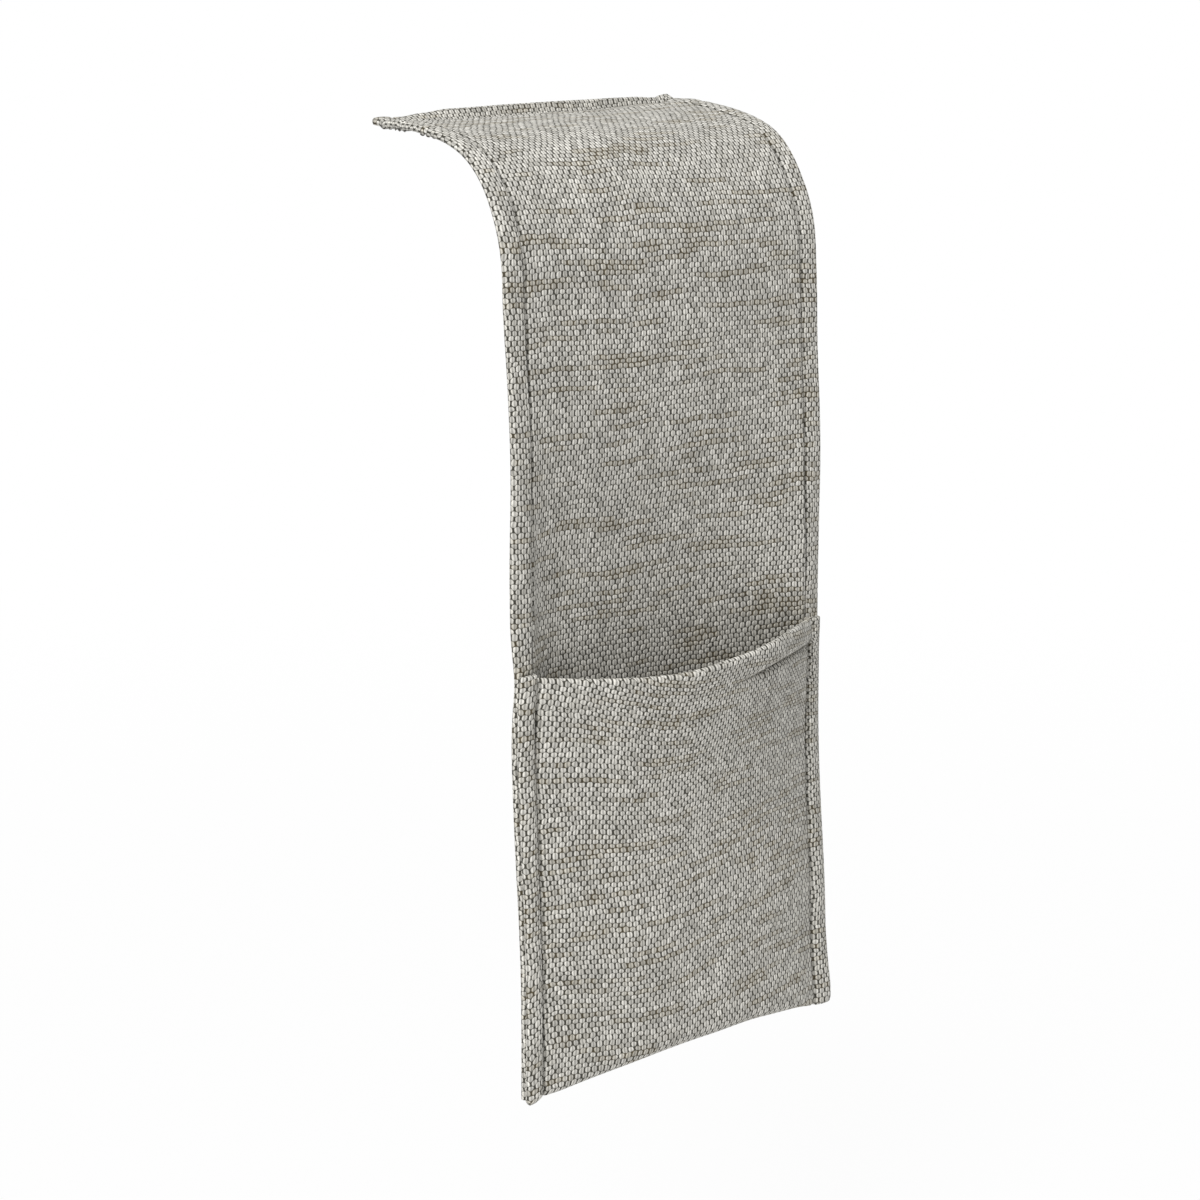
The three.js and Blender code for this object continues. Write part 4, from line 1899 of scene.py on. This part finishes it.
@dataclass
class Stitching:
    """All rows of stitches on the caddy, in millimetres."""

    strip: Strip
    drape: Drape
    pocket: PocketForm
    pocket_cloth: PocketCloth
    maker: StitchMaker
    thread: ThreadMaterial
    sink: float = 0.1
    back_sink: float = 0.25
    flap_sink: float = 0.7
    slack_sink: float = 0.3
    step: float = 0.8
    side_gap: float = 1.0
    bottom_gap: float = 5.0
    mouth_gap: float = 0.5
    strip_gap: float = 1.0
    flap_gap: float = 2.5
    back_gap: float = 9.0

    def _lift(self) -> float:
        """Give how far out from the middle of its ply a stitch lies."""
        return self.strip.form.half_ply + self.maker.lift - self.sink

    def _along_seam(
        self, name: str, side: Side, ends: tuple[float, float], surface: Surface, back: bool = False
    ) -> bpy.types.Object:
        """Sew a row along a side seam.

        Args:
            name: The row's name.
            side: The side seam it follows.
            ends: Where it starts and ends along the strip.
            surface: Gives the sewn ply's offset out.
            back: Whether it shows on the back of the strip.

        Returns:
            The new row.
        """
        form = self.strip.form
        along = np.arange(*ends, self.step)
        seam = np.full_like(along, form.seam * side.value)
        lift = -self._lift() - form.layer_pitch + self.back_sink if back else self._lift()
        out = surface(seam, along) + lift
        route = self.strip.place(seam, along, out)
        aside = self.strip.place(seam + 1, along, out)
        normals = unit(np.cross(aside - route, np.gradient(route, axis=0))) * (-1 if back else 1)
        return self.maker.row(name, route, normals, self.thread.material)

    def _across(self, name: str, across: Array, along: Array, offset: Array) -> bpy.types.Object:
        """Sew a row across the cloth on places whose plies have an offset out.

        Args:
            name: The row's name.
            across: Distance from the middle of the strip, to the right.
            along: Distance from the bottom of the pocket.
            offset: The sewn ply's offset out.

        Returns:
            The new row.
        """
        out = offset + self._lift()
        route = self.strip.place(across, along, out)
        above = self.strip.place(across, along + 1, out)
        normals = unit(np.cross(np.gradient(route, axis=0), above - route))
        return self.maker.row(name, route, normals, self.thread.material)

    def build(self) -> None:
        """Sew every row."""
        form, pocket = self.strip.form, self.pocket
        front, face = self.pocket_cloth.front, self.drape.face
        reach = form.seam - self.side_gap
        across = np.arange(-reach, reach, self.step)
        along = np.full_like(across, form.lip_start)
        row = self._across("flap_end_stitches", across, along, face(across, along) - self.flap_sink)
        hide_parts("flap_end_thread")
        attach(row, "flap")
        along = pocket.mouth_top(across) - pocket.stitch_drop
        sunk = self.slack_sink * (1 - pocket.tightness(across))
        row = self._across("pocket_mouth_stitches", across, along, front(across, along) - sunk)
        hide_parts("pocket_mouth_thread")
        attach(row, "hanging")
        for side in Side:
            name = side.name.lower()
            ends = (self.bottom_gap, pocket.height - self.mouth_gap)
            row = self._along_seam(f"pocket_{name}_stitches", side, ends, front)
            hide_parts(f"pocket_{name}_thread")
            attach(row, "hanging")
            ends = (pocket.height + self.strip_gap, form.end - self.flap_gap)
            row = self._along_seam(f"seam_{name}_stitches", side, ends, face)
            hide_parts(f"drop_{name}_thread", f"flap_{name}_thread")
            blend_over_bend(self.strip, row)
            ends = (self.bottom_gap, form.hem_start - self.back_gap)
            row = self._along_seam(f"back_{name}_stitches", side, ends, face, back=True)
            blend_over_bend(self.strip, row)
            log.info("stitches: %s side", name)


def blend_over_bend(strip: Strip, piece: bpy.types.Object) -> None:
    """Bake a piece's place into its mesh; the fold line's ends that it works out are not used.

    Args:
        strip: The strip the piece follows.
        piece: The piece, with no parent.
    """
    reach = strip.form.blend_reach
    zero = np.zeros(2)
    ends = strip.place(zero, strip.form.fold + np.array([reach, -reach]), zero) * MM
    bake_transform(piece)


@dataclass
class Studio:
    """The pale floor, the soft lights and the camera, in metres."""

    finish: FloorFinish = field(default_factory=FloorFinish)
    floor_drop: float = 0.13
    floor_size: float = 12.0
    floor_cuts: int = 6
    focal_pixels: float = 2927.53
    frame_pixels: float = 1200.0
    sensor: float = 36.0
    clip_range: tuple[float, float] = (0.05, 50.0)
    camera_place: tuple[float, float, float] = (-0.697809, -0.720028, 0.024548)
    camera_yaw: float = 45.0
    camera_pitch: float = 0.188
    world_level: float = 0.44
    key_place: tuple[float, float, float] = (-1.6, -0.75, 2.5)
    key_aim: tuple[float, float, float] = (0.0, -0.05, -0.15)
    key_size: float = 0.9
    key_power: float = 66.0

    def build_camera(self) -> None:
        """Set the camera where the photograph was taken from."""
        data = bpy.data.cameras.new("camera")
        data.lens = self.sensor * self.focal_pixels / self.frame_pixels
        data.sensor_width = self.sensor
        data.clip_start, data.clip_end = self.clip_range
        camera = bpy.data.objects.new("camera", data)
        bpy.context.scene.collection.objects.link(camera)
        camera.location = self.camera_place
        camera.rotation_euler = (math.pi / 2 - self.camera_pitch, 0.0, -math.radians(self.camera_yaw))
        bpy.context.scene.camera = camera

    def build_floor(self, lowest: float) -> None:
        """Lay the floor below the object.

        Args:
            lowest: The height of the object's lowest point, in metres.
        """
        bpy.ops.object.select_all(action="DESELECT")
        bpy.ops.mesh.primitive_plane_add(size=self.floor_size)
        floor = bpy.context.active_object
        floor.name = "studio_floor"
        bpy.ops.object.mode_set(mode="EDIT")
        bpy.ops.mesh.select_all(action="SELECT")
        bpy.ops.mesh.subdivide(number_cuts=self.floor_cuts)
        bpy.ops.transform.translate(value=(0.0, 0.0, lowest - self.floor_drop))
        bpy.ops.object.mode_set(mode="OBJECT")
        floor.data.materials.append(self._floor_material())
        floor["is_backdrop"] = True

    def _floor_material(self) -> bpy.types.Material:
        """Draw the floor, white to the camera far away and shaded by the object near it.

        Returns:
            The material.
        """
        finish = self.finish
        board = NodeBoard(bpy.data.materials.new(finish.name))
        place = board.add("ShaderNodeTexCoord").outputs["Object"]
        grain = board.noise(place, finish.grain_scale, finish.grain_detail)
        colour = board.scaled(finish.colour, board.spread(grain, *finish.grain_range))
        x, y, _ = board.split(place)
        squares = board.math("MULTIPLY", x, x), board.math("MULTIPLY", y, y)
        distance = board.math("SQRT", board.math("ADD", *squares))
        far = board.between(distance, finish.fade_start, finish.fade_end)
        share = board.math("MULTIPLY", board.direct_rays(), board.spread(far, finish.near_white_share, 1.0))
        matte = board.fill("ShaderNodeBsdfDiffuse", colour).outputs[0]
        glow = board.add("ShaderNodeEmission").outputs[0]
        mix = board.fill("ShaderNodeMixShader", share, matte, glow)
        board.fill("ShaderNodeOutputMaterial", mix.outputs[0])
        return board.owner

    def build_world(self) -> None:
        """Surround the object with white that lights it at a plain level."""
        world = bpy.data.worlds.new("studio")
        board = NodeBoard(world)
        level = board.spread(board.direct_rays(), self.world_level, 1.0)
        background = board.fill("ShaderNodeBackground", (1.0, 1.0, 1.0, 1.0), level)
        board.fill("ShaderNodeOutputWorld", background.outputs[0])
        bpy.context.scene.world = world

    def build_key(self) -> None:
        """Hang the square soft lamp that faces the middle of the object."""
        data = bpy.data.lights.new("key", "AREA")
        data.shape = "SQUARE"
        data.size = self.key_size
        data.energy = self.key_power
        lamp = bpy.data.objects.new("key", data)
        bpy.context.scene.collection.objects.link(lamp)
        lamp.location = self.key_place
        aim = Vector(self.key_aim) - lamp.location
        lamp.rotation_euler = aim.to_track_quat("-Z", "Y").to_euler()

    def build(self, lowest: float) -> None:
        """Build the studio.

        Args:
            lowest: The height of the object's lowest point, in metres.
        """
        self.build_camera()
        self.build_floor(lowest)
        self.build_world()
        self.build_key()
        bpy.context.scene.view_settings.view_transform = "Standard"
        log.info("studio: camera, floor and lights")


def main() -> None:
    """Build the caddy's cloth, hems and stitches, and the studio around them."""
    form = ClothForm()
    strip = Strip(form)
    drape = Drape(form, DrapeForm())
    pocket = PocketForm(form, drape)
    cloth = WeaveMaterial(WeaveFinish("coarse_weave"))
    strip_cloth = StripCloth(strip, drape, cloth, pocket)
    strip_piece = strip_cloth.build()
    log.info("strip cloth: %d faces", len(strip_piece.data.polygons))
    pocket_cloth = PocketCloth(strip, pocket, cloth, strip_cloth.face_columns())
    face = pocket_cloth.build_face()
    log.info("pocket cloth: %d faces", len(face.data.polygons))
    margins = [pocket_cloth.build_edge(side) for side in Side]
    mouth = pocket_cloth.build_mouth()
    hem = FlapHem(strip, drape, cloth, strip_cloth.face_columns()).build()
    log.info("hems: mouth, flap end and two pocket margins")
    blend_over_bend(strip, strip_piece)
    maker = StitchMaker(StitchForm())
    Stitching(strip, drape, pocket, pocket_cloth, maker, ThreadMaterial(ThreadFinish())).build()
    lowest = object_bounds()[0][2]
    Studio().build(lowest)


if __name__ == "__main__":
    main()
